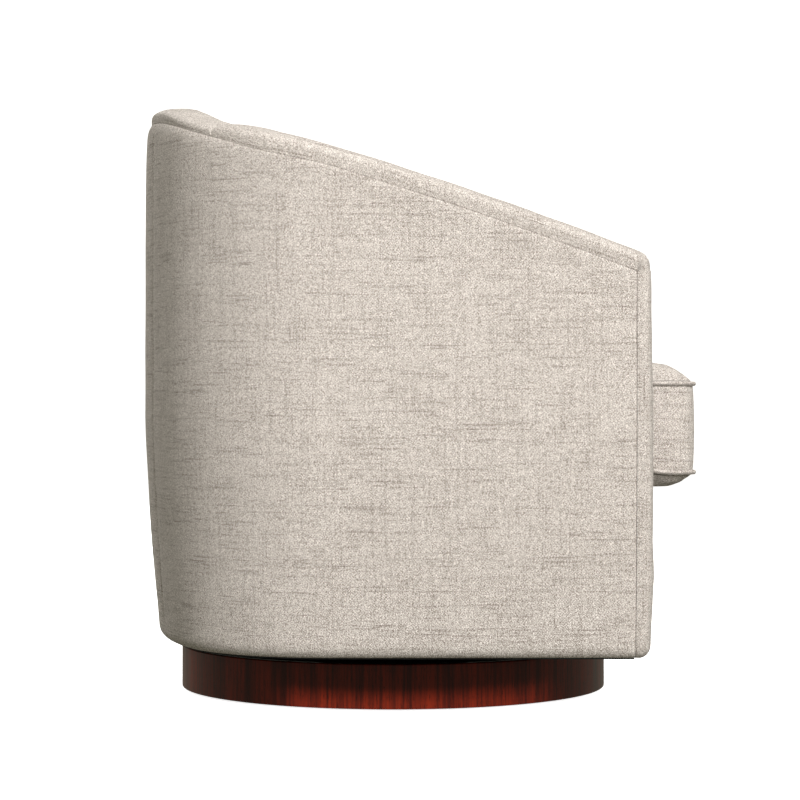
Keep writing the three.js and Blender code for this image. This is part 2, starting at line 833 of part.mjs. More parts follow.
// A wire along a level path of [x, y] pairs
function wire(path, level) {
  const rings = path.map(([x, y], i) => {
    const before = path[Math.max(0, i - 1)];
    const after = path[Math.min(path.length - 1, i + 1)];
    const along = new THREE.Vector2(after[0] - before[0], after[1] - before[1]).normalize();
    return Array.from({ length: wireSides }, (_, j) => {
      const angle = (2 * Math.PI * (j + 0.5)) / wireSides;
      const out = springWireRadius * Math.cos(angle);
      return [x + along.y * out, y - along.x * out, level + springWireRadius * Math.sin(angle)];
    });
  });
  const faces = bands(rings, false);
  const last = (rings.length - 1) * wireSides;
  for (let j = 1; j < wireSides - 1; j += 1) {
    faces.push([0, j + 1, j], [last, last + j, last + j + 1]);
  }
  return closedGeometry(rings.flat(), faces);
}

// Straight rails that cross the tub, trimmed to the inner faces of the rails or posts they meet
const backRailFrontY = outlineRear - backWallThickness + fitGap;

function crossRail(depth, height, y, bottom) {
  return cut(box(overallWidth - 2 * foamOuter, depth, height, 0, y, bottom), wallZone());
}

function swivelBatten(y) {
  const rail = crossRail(battenWidth, bottomRailHeight, y, railBottom);
  return cut(rail, ...screwPlaces.map(([x, holeY]) => {
    const holeBottom = railBottom - cutOverrun;
    const hole = disc(screwRadius + fitGap, holeBottom, upperScrewTop + fitGap, smallSegments);
    hole.translate(x, holeY, 0);
    return hole;
  }));
}

// Swivel
const screwPlaces = [[1, 1], [-1, 1], [-1, -1], [1, -1]]
  .map(([alongX, alongY]) => [(alongX * screwSpacing) / 2, (alongY * screwSpacing) / 2]);
const upperScrewTop = upperPlateBottom - fitGap + upperScrewLength;
const lowerScrewBottom = lowerPlateTop + fitGap - lowerScrewLength;
const kingHeadBottom = topBoardTop - kingHeadThickness;
const kingBoltTop = upperPlateTop + fitGap + kingNutThickness + boltTipLength;

function squareOutline(width, cornerRound) {
  const reach = width / 2 - cornerRound;
  return [[1, -1, 3], [1, 1, 0], [-1, 1, 1], [-1, -1, 2]].flatMap(([alongX, alongY, turns]) =>
    [0, 1, 2].map((step) => {
      const angle = quarterTurn * (turns + step / 2);
      return [
        alongX * reach + cornerRound * Math.cos(angle),
        alongY * reach + cornerRound * Math.sin(angle),
      ];
    }));
}

// A swivel plate with its raised race, the king bolt's hole and four screw holes
function swivelPlate(bottom, raceBottom) {
  const sheet = plate(squareOutline(plateWidth, plateCornerRadius), bottom, plateThickness);
  const raceInner = ballCircleRadius - raceWidth / 2;
  const race = ring(raceInner, raceInner + raceWidth, raceBottom, raceBottom + raceHeight, plateSegments);
  const through = (radius) =>
    disc(radius, bottom - cutOverrun, bottom + plateThickness + cutOverrun, smallSegments);
  const holes = screwPlaces.map(([x, y]) => {
    const hole = through(screwRadius + fitGap);
    hole.translate(x, y, 0);
    return hole;
  });
  return cut(joined(sheet, race), through(kingBoltRadius + kingBoltPlay), ...holes);
}

// A screw with a round head, standing at the origin of its head's seat: up is 1 or -1 for the
// direction in which its shank points
function screw(length, up) {
  const profile = [
    [0, -screwHeadThickness * up],
    [screwCrownRadius, -screwHeadThickness * up],
    [screwHeadRadius, 0],
    [screwRadius, 0],
    [screwRadius, (length - screwRadius) * up],
    [0, length * up],
  ];
  return turned(profile, smallSegments);
}

function ballCage() {
  const inner = ballCircleRadius - cageWidth / 2;
  const bottom = ballLevel - cageThickness / 2;
  const cage = ring(inner, inner + cageWidth, bottom, bottom + cageThickness, plateSegments);
  const balls = Array.from({ length: ballCount }, (_, i) => {
    const angle = (2 * Math.PI * i) / ballCount;
    const ball = new THREE.OctahedronGeometry(ballDiameter / 2, 1);
    ball.translate(
      ballCircleRadius * Math.cos(angle),
      ballCircleRadius * Math.sin(angle),
      ballLevel,
    );
    return ball;
  });
  return joined(cage, ...balls);
}

// The king bolt hangs in the lower plate, and the upper plate turns round it under the nut
function kingBolt() {
  return turned([
    [0, kingHeadBottom],
    [kingHeadRadius, kingHeadBottom],
    [kingHeadRadius, topBoardTop],
    [kingBoltRadius, topBoardTop],
    [kingBoltRadius, kingBoltTop],
    [0, kingBoltTop],
  ], smallSegments);
}

function kingNut() {
  const bottom = upperPlateTop + fitGap;
  const top = bottom + kingNutThickness;
  const hole = disc(
    kingBoltRadius + fitGap,
    bottom - cutOverrun,
    top + cutOverrun,
    smallSegments,
  );
  return cut(disc(kingNutRadius, bottom, top, nutSides), hole);
}

// Plinth
const boardRadius = plinthRadius - plinthBandThickness - fitGap;
const bottomBoardBottom = plinthFloorGap + bottomBoardSetback;

function plinthBand() {
  const inner = plinthRadius - plinthBandThickness;
  const shoulder = plinthRadius - plinthEdgeRounding;
  const profile = [
    [inner, plinthFloorGap],
    [shoulder, plinthFloorGap],
    [plinthRadius, plinthFloorGap + plinthEdgeRounding],
    [plinthRadius, plinthHeight - plinthEdgeRounding],
    [shoulder, plinthHeight],
    [inner, plinthHeight],
  ];
  return turned([...profile, profile[0]], plinthSegments);
}

function topBoard() {
  const board = disc(boardRadius, topBoardTop - topBoardThickness, topBoardTop, boardSegments);
  const overTop = topBoardTop + cutOverrun;
  const headPocket = disc(kingHeadRadius + fitGap, kingHeadBottom - fitGap, overTop, smallSegments);
  const holes = screwPlaces.map(([x, y]) => {
    const hole = disc(screwRadius + fitGap, lowerScrewBottom - fitGap, overTop, smallSegments);
    hole.translate(x, y, 0);
    return hole;
  });
  return cut(board, headPocket, ...holes);
}

const glideCircleRadius = plinthRadius - glideSetback;
const glidePlaces = Array.from({ length: glideCount }, (_, i) => {
  const angle = (2 * Math.PI * (i + 0.5)) / glideCount;
  return [glideCircleRadius * Math.cos(angle), glideCircleRadius * Math.sin(angle)];
});
const glidePinTop = bottomBoardBottom + glidePinLength;

function bottomBoard() {
  const top = bottomBoardBottom + bottomBoardThickness;
  const board = disc(boardRadius, bottomBoardBottom, top, boardSegments);
  const holes = glidePlaces.map(([x, y]) => {
    const hole = disc(
      glidePinRadius + fitGap,
      bottomBoardBottom - cutOverrun,
      glidePinTop + fitGap,
      smallSegments,
    );
    hole.translate(x, y, 0);
    return hole;
  });
  return cut(board, ...holes);
}

function floorGlide() {
  const seat = bottomBoardBottom - fitGap;
  return turned([
    [0, 0],
    [glideRadius, 0],
    [glideRadius, seat],
    [glidePinRadius, seat],
    [glidePinRadius, glidePinTop],
    [0, glidePinTop],
  ], smallSegments);
}

// Dust cover under the frame, with a square hole for the swivel
function dustCover() {
  const edge = hemWidth + fitGap + taper(bodyBottomHeight);
  const outline = insideOutline(() => edge, wallFrontY);
  const bottom = railBottom - fitGap - dustCoverThickness;
  const sheet = plate(outline, bottom, dustCoverThickness);
  const window = squareOutline(plateWidth + 2 * dustCoverPlateGap, plateCornerRadius);
  return cut(sheet, plate(window, bottom - cutOverrun, dustCoverThickness + 2 * cutOverrun));
}

function deckPad() {
  const outline = insideOutline(
    (station) => wallThickness(station, deckHeight) + fitGap,
    wallFrontY,
  );
  return plate(outline, deckPadBottom, deckPadThickness);
}

function frontBorder() {
  const width = overallWidth - 2 * (armWallThickness + fitGap);
  const bottom = bodyBottomHeight + frontBorderLift;
  const y = frontSeamY - frontBorderThickness / 2;
  return box(width, frontBorderThickness, deckHeight - bottom, 0, y, bottom);
}

const chair = new THREE.Group();

function add(name, geometry, finish, x = 0, y = 0, z = 0) {
  const mesh = new THREE.Mesh(geometry, new THREE.MeshStandardMaterial(finishes[finish]));
  mesh.name = name;
  mesh.position.set(x, y, z);
  chair.add(mesh);
}

function addPlinth() {
  add('plinth_band', plinthBand(), 'plinthVeneer');
  add('plinth_top_board', topBoard(), 'board');
  add('plinth_bottom_board', bottomBoard(), 'board');
  glidePlaces.forEach(([x, y], i) => add(`floor_glide_${i + 1}`, floorGlide(), 'nylon', x, y));
}

function addSwivel() {
  add('swivel_lower_plate', swivelPlate(lowerPlateBottom, lowerPlateTop), 'steel');
  add('swivel_upper_plate', swivelPlate(upperPlateBottom, upperPlateBottom - raceHeight), 'steel');
  add('ball_cage', ballCage(), 'steel');
  add('king_bolt', kingBolt(), 'steel');
  add('king_nut', kingNut(), 'steel');
  const lowerSeat = lowerPlateTop + fitGap;
  const upperSeat = upperPlateBottom - fitGap;
  screwPlaces.forEach(([x, y], i) => {
    add(`lower_plate_screw_${i + 1}`, screw(lowerScrewLength, -1), 'steel', x, y, lowerSeat);
    add(`upper_plate_screw_${i + 1}`, screw(upperScrewLength, 1), 'steel', x, y, upperSeat);
  });
}

const sides = [['left', -1], ['right', 1]];

function addFrame() {
  const frontRailY = wallFrontY + seatRailThickness / 2;
  const seatRailBottom = seatRailTop - seatRailHeight;
  sides.forEach(([name, side]) => {
    const frontPost = armRun(side, 0).slice(0, 2);
    const rearPost = [armSeamAngle, railJointAngle, rearPostAngle]
      .map((angle) => arcStation(side * angle));
    const sideRun = armRun(side, railJointAngle);
    add(`bottom_rail_${name}`, wallPiece(sideRun, bottomRailSection), 'frameWood');
    add(`top_rail_${name}`, wallPiece(sideRun, topRailSection), 'frameWood');
    add(`front_post_${name}`, wallPiece(frontPost, postSection), 'frameWood');
    add(`rear_post_${name}`, wallPiece(rearPost, postSection), 'frameWood');
    add(`swivel_batten_${name === 'left' ? 'front' : 'back'}`,
      swivelBatten((side * screwSpacing) / 2), 'frameWood');
  });
  add('bottom_rail_back', wallPiece(backRun(railJointAngle), bottomRailSection), 'frameWood');
  add('top_rail_back', wallPiece(backRun(railJointAngle), topRailSection), 'frameWood');
  add('bottom_rail_front',
    crossRail(seatRailThickness, bottomRailHeight, frontRailY, railBottom), 'frameWood');
  add('seat_rail_front',
    crossRail(seatRailThickness, seatRailHeight, frontRailY, seatRailBottom), 'frameWood');
  add('seat_rail_back', crossRail(
    seatRailThickness,
    seatRailHeight,
    backRailFrontY + seatRailThickness / 2,
    seatRailBottom,
  ), 'frameWood');
}

function addDeck() {
  for (let i = 0; i < springCount; i += 1) {
    const x = (i - (springCount - 1) / 2) * springSpacing;
    add(`deck_spring_${i + 1}`, deckSpring(x), 'steel');
  }
  add('deck_pad', deckPad(), 'linen');
  add('front_border', frontBorder(), 'linen');
  add('dust_cover', dustCover(), 'cambric');
}

function addUpholstery() {
  const plainCover = outsideCoverSection(noBulge);
  sides.forEach(([name, side]) => {
    add(`outside_cover_${name}`, wallPiece(armRun(side, backSeamAngle), plainCover), 'linen');
    add(`arm_foam_${name}`, wallPiece(armRun(side, armSeamAngle), foamSection), 'foam');
    add(`inside_cover_${name}`, wallPiece(armRun(side, armSeamAngle), insideCoverSection), 'linen');
    add(`arm_band_${name}`, armBand(side), 'linen');
  });
  add('outside_cover_back',
    wallPiece(backRun(backSeamAngle), outsideCoverSection(panelBulge)), 'linen');
  add('back_foam', wallPiece(backRun(armSeamAngle), foamSection), 'foam');
  add('inside_cover_back', wallPiece(backRun(armSeamAngle), insideCoverSection), 'linen');
  add('back_band', sweptDome(wallRings(backRun(armSeamAngle), bandSection)), 'linen');
}

function addCushion() {
  const hollow = cushionForm(cushionCoverThickness, foamRings);
  add('cushion_cover', cut(cushionForm(0, coverRings), hollow, zipSlit()), 'linen');
  add('cushion_core', cushionForm(cushionCoverThickness + fitGap, foamRings), 'foam');
  add('cushion_welt_upper', cushionWelt(() => upperWeltHeight), 'piping');
  add('cushion_welt_lower', cushionWelt(lowerSeamHeight), 'piping');
  add('zip_slider', zipSlider(), 'steel');
}

addPlinth();
addSwivel();
addFrame();
addDeck();
addUpholstery();
addCushion();
chair.position.y = (cushionFrontReach - rearReach) / 2;

export default chair;
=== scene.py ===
"""Swivel barrel chair: upholstery, veneered plinth, finishes and a studio round the packed frame.

Metres, +Z up, the chair faces -Y. Distances round the tub are counted from the middle of its back,
positive towards +X.
"""
import json
import math
from functools import partial

import bpy
import numpy as np
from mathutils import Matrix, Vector
from bpy.props import FloatProperty, IntProperty, PointerProperty, StringProperty


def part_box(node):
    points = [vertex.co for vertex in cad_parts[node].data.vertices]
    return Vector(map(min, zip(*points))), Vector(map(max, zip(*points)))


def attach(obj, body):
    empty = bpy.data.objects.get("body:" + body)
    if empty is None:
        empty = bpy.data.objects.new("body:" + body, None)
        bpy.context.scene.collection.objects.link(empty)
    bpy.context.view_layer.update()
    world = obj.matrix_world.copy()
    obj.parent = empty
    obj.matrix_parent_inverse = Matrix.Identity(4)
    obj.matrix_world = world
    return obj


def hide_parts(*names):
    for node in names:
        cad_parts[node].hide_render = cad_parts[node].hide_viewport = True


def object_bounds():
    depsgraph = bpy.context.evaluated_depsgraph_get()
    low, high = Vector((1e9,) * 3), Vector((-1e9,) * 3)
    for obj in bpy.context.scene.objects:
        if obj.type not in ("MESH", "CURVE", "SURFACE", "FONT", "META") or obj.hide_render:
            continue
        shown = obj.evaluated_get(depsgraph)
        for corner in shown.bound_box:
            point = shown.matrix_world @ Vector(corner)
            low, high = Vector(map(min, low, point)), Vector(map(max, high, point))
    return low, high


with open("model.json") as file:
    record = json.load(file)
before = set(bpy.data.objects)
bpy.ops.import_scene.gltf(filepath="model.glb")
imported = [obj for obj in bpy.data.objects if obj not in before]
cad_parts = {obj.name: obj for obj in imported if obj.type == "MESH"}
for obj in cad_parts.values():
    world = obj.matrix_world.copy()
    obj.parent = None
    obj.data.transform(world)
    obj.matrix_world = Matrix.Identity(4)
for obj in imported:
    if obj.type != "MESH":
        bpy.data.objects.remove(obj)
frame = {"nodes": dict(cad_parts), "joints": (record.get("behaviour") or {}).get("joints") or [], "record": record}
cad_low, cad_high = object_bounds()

bl_info = {
    "name": "Swivel barrel chair",
    "version": (1, 0, 0),
    "blender": (4, 5, 0),
    "location": "3D View > Sidebar > Barrel chair",
    "description": "Upholsters and finishes a swivel barrel chair on its packed frame",
    "category": "Object",
}

SIDES = (("left", -1), ("right", 1))
QUARTER = math.pi / 2
FIT_GAP = 0.0003
SWIVEL_Y = next(j for j in frame["joints"] if j["name"] == "swivel")["pos_m"][1]
DECK_LOW, DECK_TOP = (corner.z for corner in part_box("deck_pad"))
CUSHION_LOW, CUSHION_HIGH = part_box("cushion_cover")
BORDER_LOW, BORDER_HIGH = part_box("front_border")


def length(name, description, default):
    """A size in metres for a PropertyGroup."""
    return FloatProperty(name=name, description=description, default=default,
                         subtype="DISTANCE", unit="LENGTH", precision=4)


def share(name, description, default):
    """A share from 0 to 1 for a PropertyGroup."""
    return FloatProperty(name=name, description=description, default=default,
                         min=0.0, max=1.0, subtype="FACTOR")


def angle_of(name, description, degrees):
    """An angle for a PropertyGroup."""
    return FloatProperty(name=name, description=description, default=math.radians(degrees),
                         subtype="ANGLE", unit="ROTATION")


def power(name, description, default):
    """The power of a light for a PropertyGroup."""
    return FloatProperty(name=name, description=description, default=default, unit="POWER")


def shade(name, default):
    """An sRGB colour, as the six digits of its hex value, for a PropertyGroup."""
    return StringProperty(name=name, description=f"{name}, an sRGB hex value", default=default,
                          maxlen=6)


class TubSizes(bpy.types.PropertyGroup):
    """Sizes of the upholstered tub, as the packed frame has them"""
    half_width: length("Half width", "Middle to the outside of an arm", cad_high.x)
    corner_radius: length("Corner radius", "Rounding of the rear corners in plan", 0.230)
    rear_bulge: length("Rear bulge", "Swell of the outside back between its seams", 0.0025)
    join_angle: angle_of("Join angle", "Where corner and rear arc meet", 23)
    band_angle: angle_of("Band seam angle", "Seam of arm and back band", 48)
    back_angle: angle_of("Back seam angle", "Seam of the outside back", 14.5)
    front_seam: length("Front seam", "Y of the seam where an arm's front band starts",
                       BORDER_HIGH.y)
    front_depth: length("Front band depth", "How far the band stands in front of an arm", 0.019)
    band_depth: length("Band depth", "Height of the band along the arms", 0.029)
    band_back_depth: length("Back band depth", "Height of the band round the back", 0.021)
    full_angle: angle_of("Full band angle", "Where the band is full", 72)
    narrow_angle: angle_of("Narrow band angle", "Where the band is narrow", 42)
    band_lean: share("Band lean", "How much the band's crown leans towards the seat", 0.8)
    bottom: length("Bottom", "Height of the tub's underside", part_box("outside_cover_back")[0].z)
    bottom_round: length("Bottom rounding", "Rounding of the lower edge", 0.016)
    hem_width: length("Hem width", "How far the cover turns in under the tub", 0.030)
    hem_thickness: length("Hem thickness", "Cover and staples under the tub", 0.0032)
    sheet_slack: length("Sheet slack", "How far the dust sheet hangs between its edges", 0.0015)
    pad: length("Outer pad", "Cover and wadding on the outside of the frame", 0.0137)
    inner_pad: length("Inner cover", "Cover and wadding on the inside", 0.0057)
    foam_outer: length("Foam start", "Outside of the tub to the outer face of the foam", 0.0386)
    arm_wall: length("Arm wall", "Thickness of the wall at the arms", 0.100)
    back_wall: length("Back wall", "Thickness of the wall at the lumbar height", 0.140)
    back_top_wall: length("Back top wall", "Thickness of the wall under the back band", 0.108)
    lumbar: length("Lumbar height", "Height where the back is thickest", 0.400)
    taper: length("Taper", "How far the wall draws in at its foot", 0.018)
    taper_top: length("Taper top", "Height above which the wall stands straight", 0.380)


class CrestSizes(bpy.types.PropertyGroup):
    """Slanted top line of the tub, as heights of its crest"""
    front_height: length("Front height", "Crest at the front of an arm", 0.583)
    front: length("Front place", "Swivel axis to the front end of the crest", 0.307)
    rear: length("Rear place", "Swivel axis to the crest at the middle of the back", 0.289)
    inset: length("Crest inset", "Outside of the tub to the crest", 0.050)
    rise: length("Rise", "Rise of the slope from front to back", 0.191)
    bow: length("Bow", "Bow of the slope between its ends", 0.0103)
    roll: length("Back roll", "Extra height where the crest rolls over the back", 0.016)
    roll_start: share("Roll start", "Share of the slope where the roll starts", 0.845)
    roll_end: share("Roll end", "Share of the slope where the roll is full", 0.985)


class SewingSizes(bpy.types.PropertyGroup):
    """Seams, gathers and unevenness of the sewn covers"""
    seam_round: length("Seam rounding", "Radius with which cloth rolls into a seam", 0.0018)
    seam_puff: length("Seam puff", "Swell of a panel beside its top seam", 0.0012)
    band_tuck: length("Band tuck", "How far the band draws in at its seams", 0.0012)
    back_tuck: length("Back tuck", "How far the back band sits inside the panel below", 0.0062)
    back_flat: share("Back band flatness", "How much less the back band draws in", 0.75)
    seam_dip: length("Seam dip", "How far the band sinks at a cross seam", 0.0024)
    corner_draw: length("Corner draw", "How far the band is drawn down at a back corner", 0.0042)
    gather: length("Gather", "Height of the small gathers along a seam", 0.0003)
    gather_pitch: length("Gather pitch", "Distance between gathers", 0.011)
    unevenness: length("Unevenness", "Soft waviness of the stretched cloth", 0.0008)
    grid: length("Grid", "Distance between the points of a cover", 0.007)


class CushionSizes(bpy.types.PropertyGroup):
    """Loose seat cushion"""
    clearance: length("Seam setback", "Inside of the wall to the cushion's seam", 0.0074)
    front_swell: length("Front swell", "How far the front is stuffed out past the frame", 0.0084)
    corner: length("Corner radius", "Rounding of the front corners", 0.028)
    bow: length("Front bow", "How far the front stands forward at its middle", 0.003)
    crown_edge: length("Crown edge", "Distance in which the crown rises from its seam", 0.0120)
    crown_shoulder: length("Crown shoulder", "Height of that first rise", 0.0228)
    belly_edge: length("Belly edge", "Distance in which the underside falls", 0.020)
    belly: length("Belly", "How far the underside hangs in front of the deck", 0.0045)
    upper_seam: length("Upper seam", "Height of the upper seam", 0.417)
    lower_seam: length("Lower seam", "Height of the lower seam inside the tub", 0.312)
    droop: length("Droop", "How far the lower seam hangs past the arms", 0.009)
    bulge: length("Boxing bulge", "How far the boxing swells between its seams", 0.0012)
    welt: length("Welt radius", "Radius of the piping", 0.0029)
    welt_out: length("Welt place", "Seam to the middle of the piping", 0.0010)
    voxel: length("Voxel", "Grid of the cloth simulation", 0.006)
    swell: length("Swell", "Furthest that the stuffing pushes the crown out", 0.006)
    side_swell: length("Side swell", "Furthest that the stuffing pushes the boxing out", 0.001)
    shoulder_fill: length("Shoulder fill", "Extra filling of the crown near its seam", 0.0043)
    shoulder_reach: length("Shoulder reach", "Seam to the most filled line of the crown", 0.030)
    pressure: FloatProperty(name="Pressure", description="Pressure of the stuffing", default=7.0)
    frames: IntProperty(name="Frames", description="Length of the simulation", default=20)


class Finishes(bpy.types.PropertyGroup):
    """Colours and real scales of the materials"""
    light_thread: shade("Light linen thread", "F5EDE6")
    slub: shade("Dark slub", "7C7168")
    thread: length("Thread spacing", "Distance at which the linen's threads are drawn", 0.00185)
    fibre: length("Fibre fleck", "Size of the light and dark flecks in the yarn", 0.00064)
    slub_length: length("Slub length", "Length of a thick place in a thread", 0.085)
    weft_slubs: share("Weft slubs", "How dark the thick places of the weft are", 0.54)
    warp_slubs: share("Warp slubs", "How dark the thick places of the warp are", 0.44)
    heather: share("Heather", "How strongly light and dark fibres mix", 0.92)
    veneer_dark: shade("Veneer pores", "160604")
    veneer_mid: shade("Veneer", "3A100B")
    veneer_light: shade("Veneer light grain", "70200F")
    grain: length("Grain width", "Width of the veneer's grain lines", 0.0035)
    foam: shade("Foam", "E9E2CF")
    cambric: shade("Cambric", "1B1B1C")
    frame_wood: shade("Frame wood", "C9A878")
    # Board colour: a stain, dark enough to also paint the shade in the gap between tub and plinth
    stained_board: shade("Board stain and painted shade", "16110E")
    zinc: shade("Zinc", "9B9DA0")
    nylon: shade("Nylon", "26262A")


class StageSettings(bpy.types.PropertyGroup):
    """Camera and studio light"""
    camera_x: length("Camera distance", "X of the camera, which looks along +X", -3.375)
    camera_y: length("Camera place", "Y of the camera, in front of the swivel axis", -0.0094)
    camera_z: length("Camera height", "Z of the camera", 0.396)
    lens: FloatProperty(name="Lens", description="Focal length in millimetres", default=109.2,
                        subtype="DISTANCE_CAMERA")
    key: power("Key light", "Power of the key light", 572.0)
    top: power("Top light", "Power of the top light", 62.0)
    rim: power("Rim light", "Power of the light from behind", 330.0)
    back: power("Back light", "Power of the small light over the back", 1.6)
    glow: power("Floor glow", "Power of the light off the floor", 0.045)
    room: FloatProperty(name="Room light", description="Strength of the room's light",
                        default=0.25)
    air: shade("Room colour", "FFFEE7")
    floor: shade("Floor", "F4F3F1")


GROUPS = {
    "tub": TubSizes, "crest": CrestSizes, "sewing": SewingSizes, "cushion": CushionSizes,
    "finishes": Finishes, "stage": StageSettings,
}


class BarrelChairSettings(bpy.types.PropertyGroup):
    """Everything that a user may set"""
    __annotations__ = {name: PointerProperty(type=group) for name, group in GROUPS.items()}


def settings():
    return bpy.context.scene.barrel_chair


# Shapes of the tub

def smooth(value):
    """Eases a value from 0 to 1, level at both ends."""
    value = np.clip(value, 0.0, 1.0)
    return value * value * (3 - 2 * value)


def mix(a, b, part):
    return a + (b - a) * part


def rear_radius():
    tub = settings().tub
    return tub.corner_radius + (tub.half_width - tub.corner_radius) / math.sin(tub.join_angle)


def arc_centres():
    """Centre Y of the rear arc, and centre X and Y of a corner arc."""
    tub = settings().tub
    rear_y = cad_high.y - tub.rear_bulge - rear_radius()
    corner_y = rear_y + (rear_radius() - tub.corner_radius) * math.cos(tub.join_angle)
    return rear_y, tub.half_width - tub.corner_radius, corner_y


def reach_of(angle):
    """Distance round the tub at which its outward direction has this angle from straight back."""
    tub = settings().tub
    if angle <= tub.join_angle:
        return rear_radius() * angle
    return rear_radius() * tub.join_angle + tub.corner_radius * (angle - tub.join_angle)


def front_reach():
    """Distance round the tub at which the seam of an arm's front lies."""
    return reach_of(QUARTER) + arc_centres()[2] - settings().tub.front_seam


def stretches(angle):
    """Name, start and end of the left, right and back stretch of the tub, with the seams between
    them where its outward direction has this angle."""
    seam, front = reach_of(angle), front_reach() - FIT_GAP
    sides = [(name, side * front, side * (seam + FIT_GAP / 2)) for name, side in SIDES]
    return sides + [("back", FIT_GAP / 2 - seam, seam - FIT_GAP / 2)]


def outline(reach):
    """Places, outward directions and angles on the outside of the tub in plan."""
    tub = settings().tub
    rear_y, corner_x, corner_y = arc_centres()
    side, along = np.sign(reach), np.abs(reach)
    join = reach_of(tub.join_angle)
    on_rear = along <= join
    angle = np.where(on_rear, along / rear_radius(),
                     np.minimum(tub.join_angle + (along - join) / tub.corner_radius, QUARTER))
    radius = np.where(on_rear, rear_radius(), tub.corner_radius)
    x = np.where(on_rear, 0.0, corner_x) + radius * np.sin(angle)
    y = np.where(on_rear, rear_y, corner_y) + radius * np.cos(angle)
    y = y - np.maximum(along - reach_of(QUARTER), 0.0)
    return side * x, y, side * np.sin(angle), np.cos(angle), angle


def crest_at(y):
    crest = settings().crest
    part = (y - SWIVEL_Y + crest.front) / (crest.rear + crest.front)
    roll = smooth((part - crest.roll_start) / (crest.roll_end - crest.roll_start))
    return (crest.front_height + crest.rise * part + crest.bow * 4 * part * (1 - part)
            + crest.roll * roll)


def crest_of(reach):
    """Height of the crest at a distance round the tub."""
    _, y, _, ny, _ = outline(reach)
    return crest_at(y - ny * settings().crest.inset)


def back_share(reach):
    """0 along the arms, 1 where the band has narrowed to that of the back."""
    tub = settings().tub
    turn = (tub.full_angle - outline(reach)[4]) / (tub.full_angle - tub.narrow_angle)
    return smooth(turn)


def band_depth_of(reach):
    tub = settings().tub
    return mix(tub.band_depth, tub.band_back_depth, back_share(reach))


def seam_of(reach):
    """Height of the seam between the covers and the band."""
    return crest_of(reach) - band_depth_of(reach)


# How sharply the foot of the wall draws in
TAPER_POWER = 1.5


def taper_at(height):
    """How far the wall has drawn in at a height."""
    tub = settings().tub
    low = np.maximum(0.0, (tub.taper_top - height) / (tub.taper_top - tub.bottom))
    return tub.taper * low ** TAPER_POWER


def wall_thickness(reach, height):
    tub = settings().tub
    angle = outline(reach)[4]
    turn = smooth((QUARTER - angle) / (QUARTER - tub.join_angle))
    top = seam_of(reach)
    rise = np.clip((height - tub.lumbar) / (top - tub.lumbar), 0, 1)
    return mix(tub.arm_wall, mix(tub.back_wall, tub.back_top_wall, rise), turn)


def wall_points(reach, inset, height, taper_share=1.0):
    """Points of the wall at distances round it, depths in from its outside, and heights."""
    reach, inset, height = np.broadcast_arrays(reach, inset, height)
    x, y, nx, ny, _ = outline(reach)
    depth = inset + taper_share * taper_at(height)
    return np.stack([x - nx * depth, y - ny * depth, height], axis=-1)


# Distances from each end at which a graded run has places, so that a seam rolls in round
NEAR_SEAM = np.array([0, 0.0003, 0.0008, 0.0015, 0.0026, 0.0042, 0.0065, 0.0095])


def graded(start, stop, step):
    """Places from start to stop, a step apart, and closer beside both ends."""
    sign, span, near = (1 if stop > start else -1), abs(stop - start), NEAR_SEAM[-1]
    count = max(2, int(round((span - 2 * near) / step)))
    middle = np.linspace(near, span - near, count + 1)[1:-1]
    return start + sign * np.concatenate([NEAR_SEAM, middle, span - NEAR_SEAM[::-1]])


def seam_roll(distance):
    """How far cloth has rolled in at a distance from its seam."""
    radius = settings().sewing.seam_round
    left = np.clip(radius - distance, 0, radius)
    return radius - np.sqrt(radius ** 2 - left ** 2)


# First seed of each piece's waviness, the number of waves and the spread of their sizes
SEEDS = {
    "outside_left": 11, "outside_right": 17, "outside_back": 23, "band": 31, "front_band": 35,
    "inside_left": 41, "inside_right": 47, "inside_back": 53, "padding": 51, "welt": 61,
    "front_panel": 71, "crown": 81,
}
WAVES = 7
WAVE_SPREAD = 0.7, 1.6


def ripple(u, v, size, seed):
    """Soft seeded waviness, from -1 to 1, with waves of about this size."""
    draw = np.random.RandomState(seed)
    total = 0.0
    for _ in range(WAVES):
        turn, phase = draw.uniform(0, 2 * math.pi, 2)
        wave = 2 * math.pi / (size * draw.uniform(*WAVE_SPREAD))
        total = total + np.sin(wave * (u * math.cos(turn) + v * math.sin(turn)) + phase)
    return total / WAVES


# Distance from a seam in which the waviness of stretched cloth grows to its full height
CALM = 0.03


def unevenness(u, v, size, seed, from_seam):
    """Waviness of stretched cloth, which fades towards a seam."""
    return settings().sewing.unevenness * ripple(u, v, size, seed) * smooth(from_seam / CALM)


# Drift of the gathers along a seam, in radians, the length of its waves, and the distance from
# the seam in which the gathers fade
DRIFT, DRIFT_LENGTH, GATHER_FADE = 2.2, 0.07, 0.009


def gathers(along, distance, seed):
    """Small gathers along a seam, which fade with the distance from it."""
    sewing = settings().sewing
    shift = DRIFT * ripple(along, 0 * along, DRIFT_LENGTH, seed)
    wave = np.sin(2 * math.pi * along / sewing.gather_pitch + shift)
    return sewing.gather * wave * np.exp(-np.maximum(distance, 0) / GATHER_FADE)


def pairs(u, v):
    """Two arrays as pairs, each spread to the shape of both."""
    return np.stack(np.broadcast_arrays(u, v), axis=-1)


def there_and_back(near, far):
    """Sections that go along one line and back along the other."""
    return np.concatenate([near, far[:, ::-1]], axis=1)


# Meshes

def place_mesh(name, points, faces, weave=None):
    """A named mesh object with smooth faces. Weave holds each point's place in its flat cloth."""
    mesh = bpy.data.meshes.new(name)
    mesh.from_pydata(np.asarray(points).reshape(-1, 3).tolist(), [], [list(f) for f in faces])
    mesh.validate()
    mesh.polygons.foreach_set("use_smooth", [True] * len(mesh.polygons))
    if weave is not None:
        set_weave(mesh, weave)
    mesh.update()
    piece = bpy.data.objects.new(name, mesh)
    bpy.context.scene.collection.objects.link(piece)
    return piece


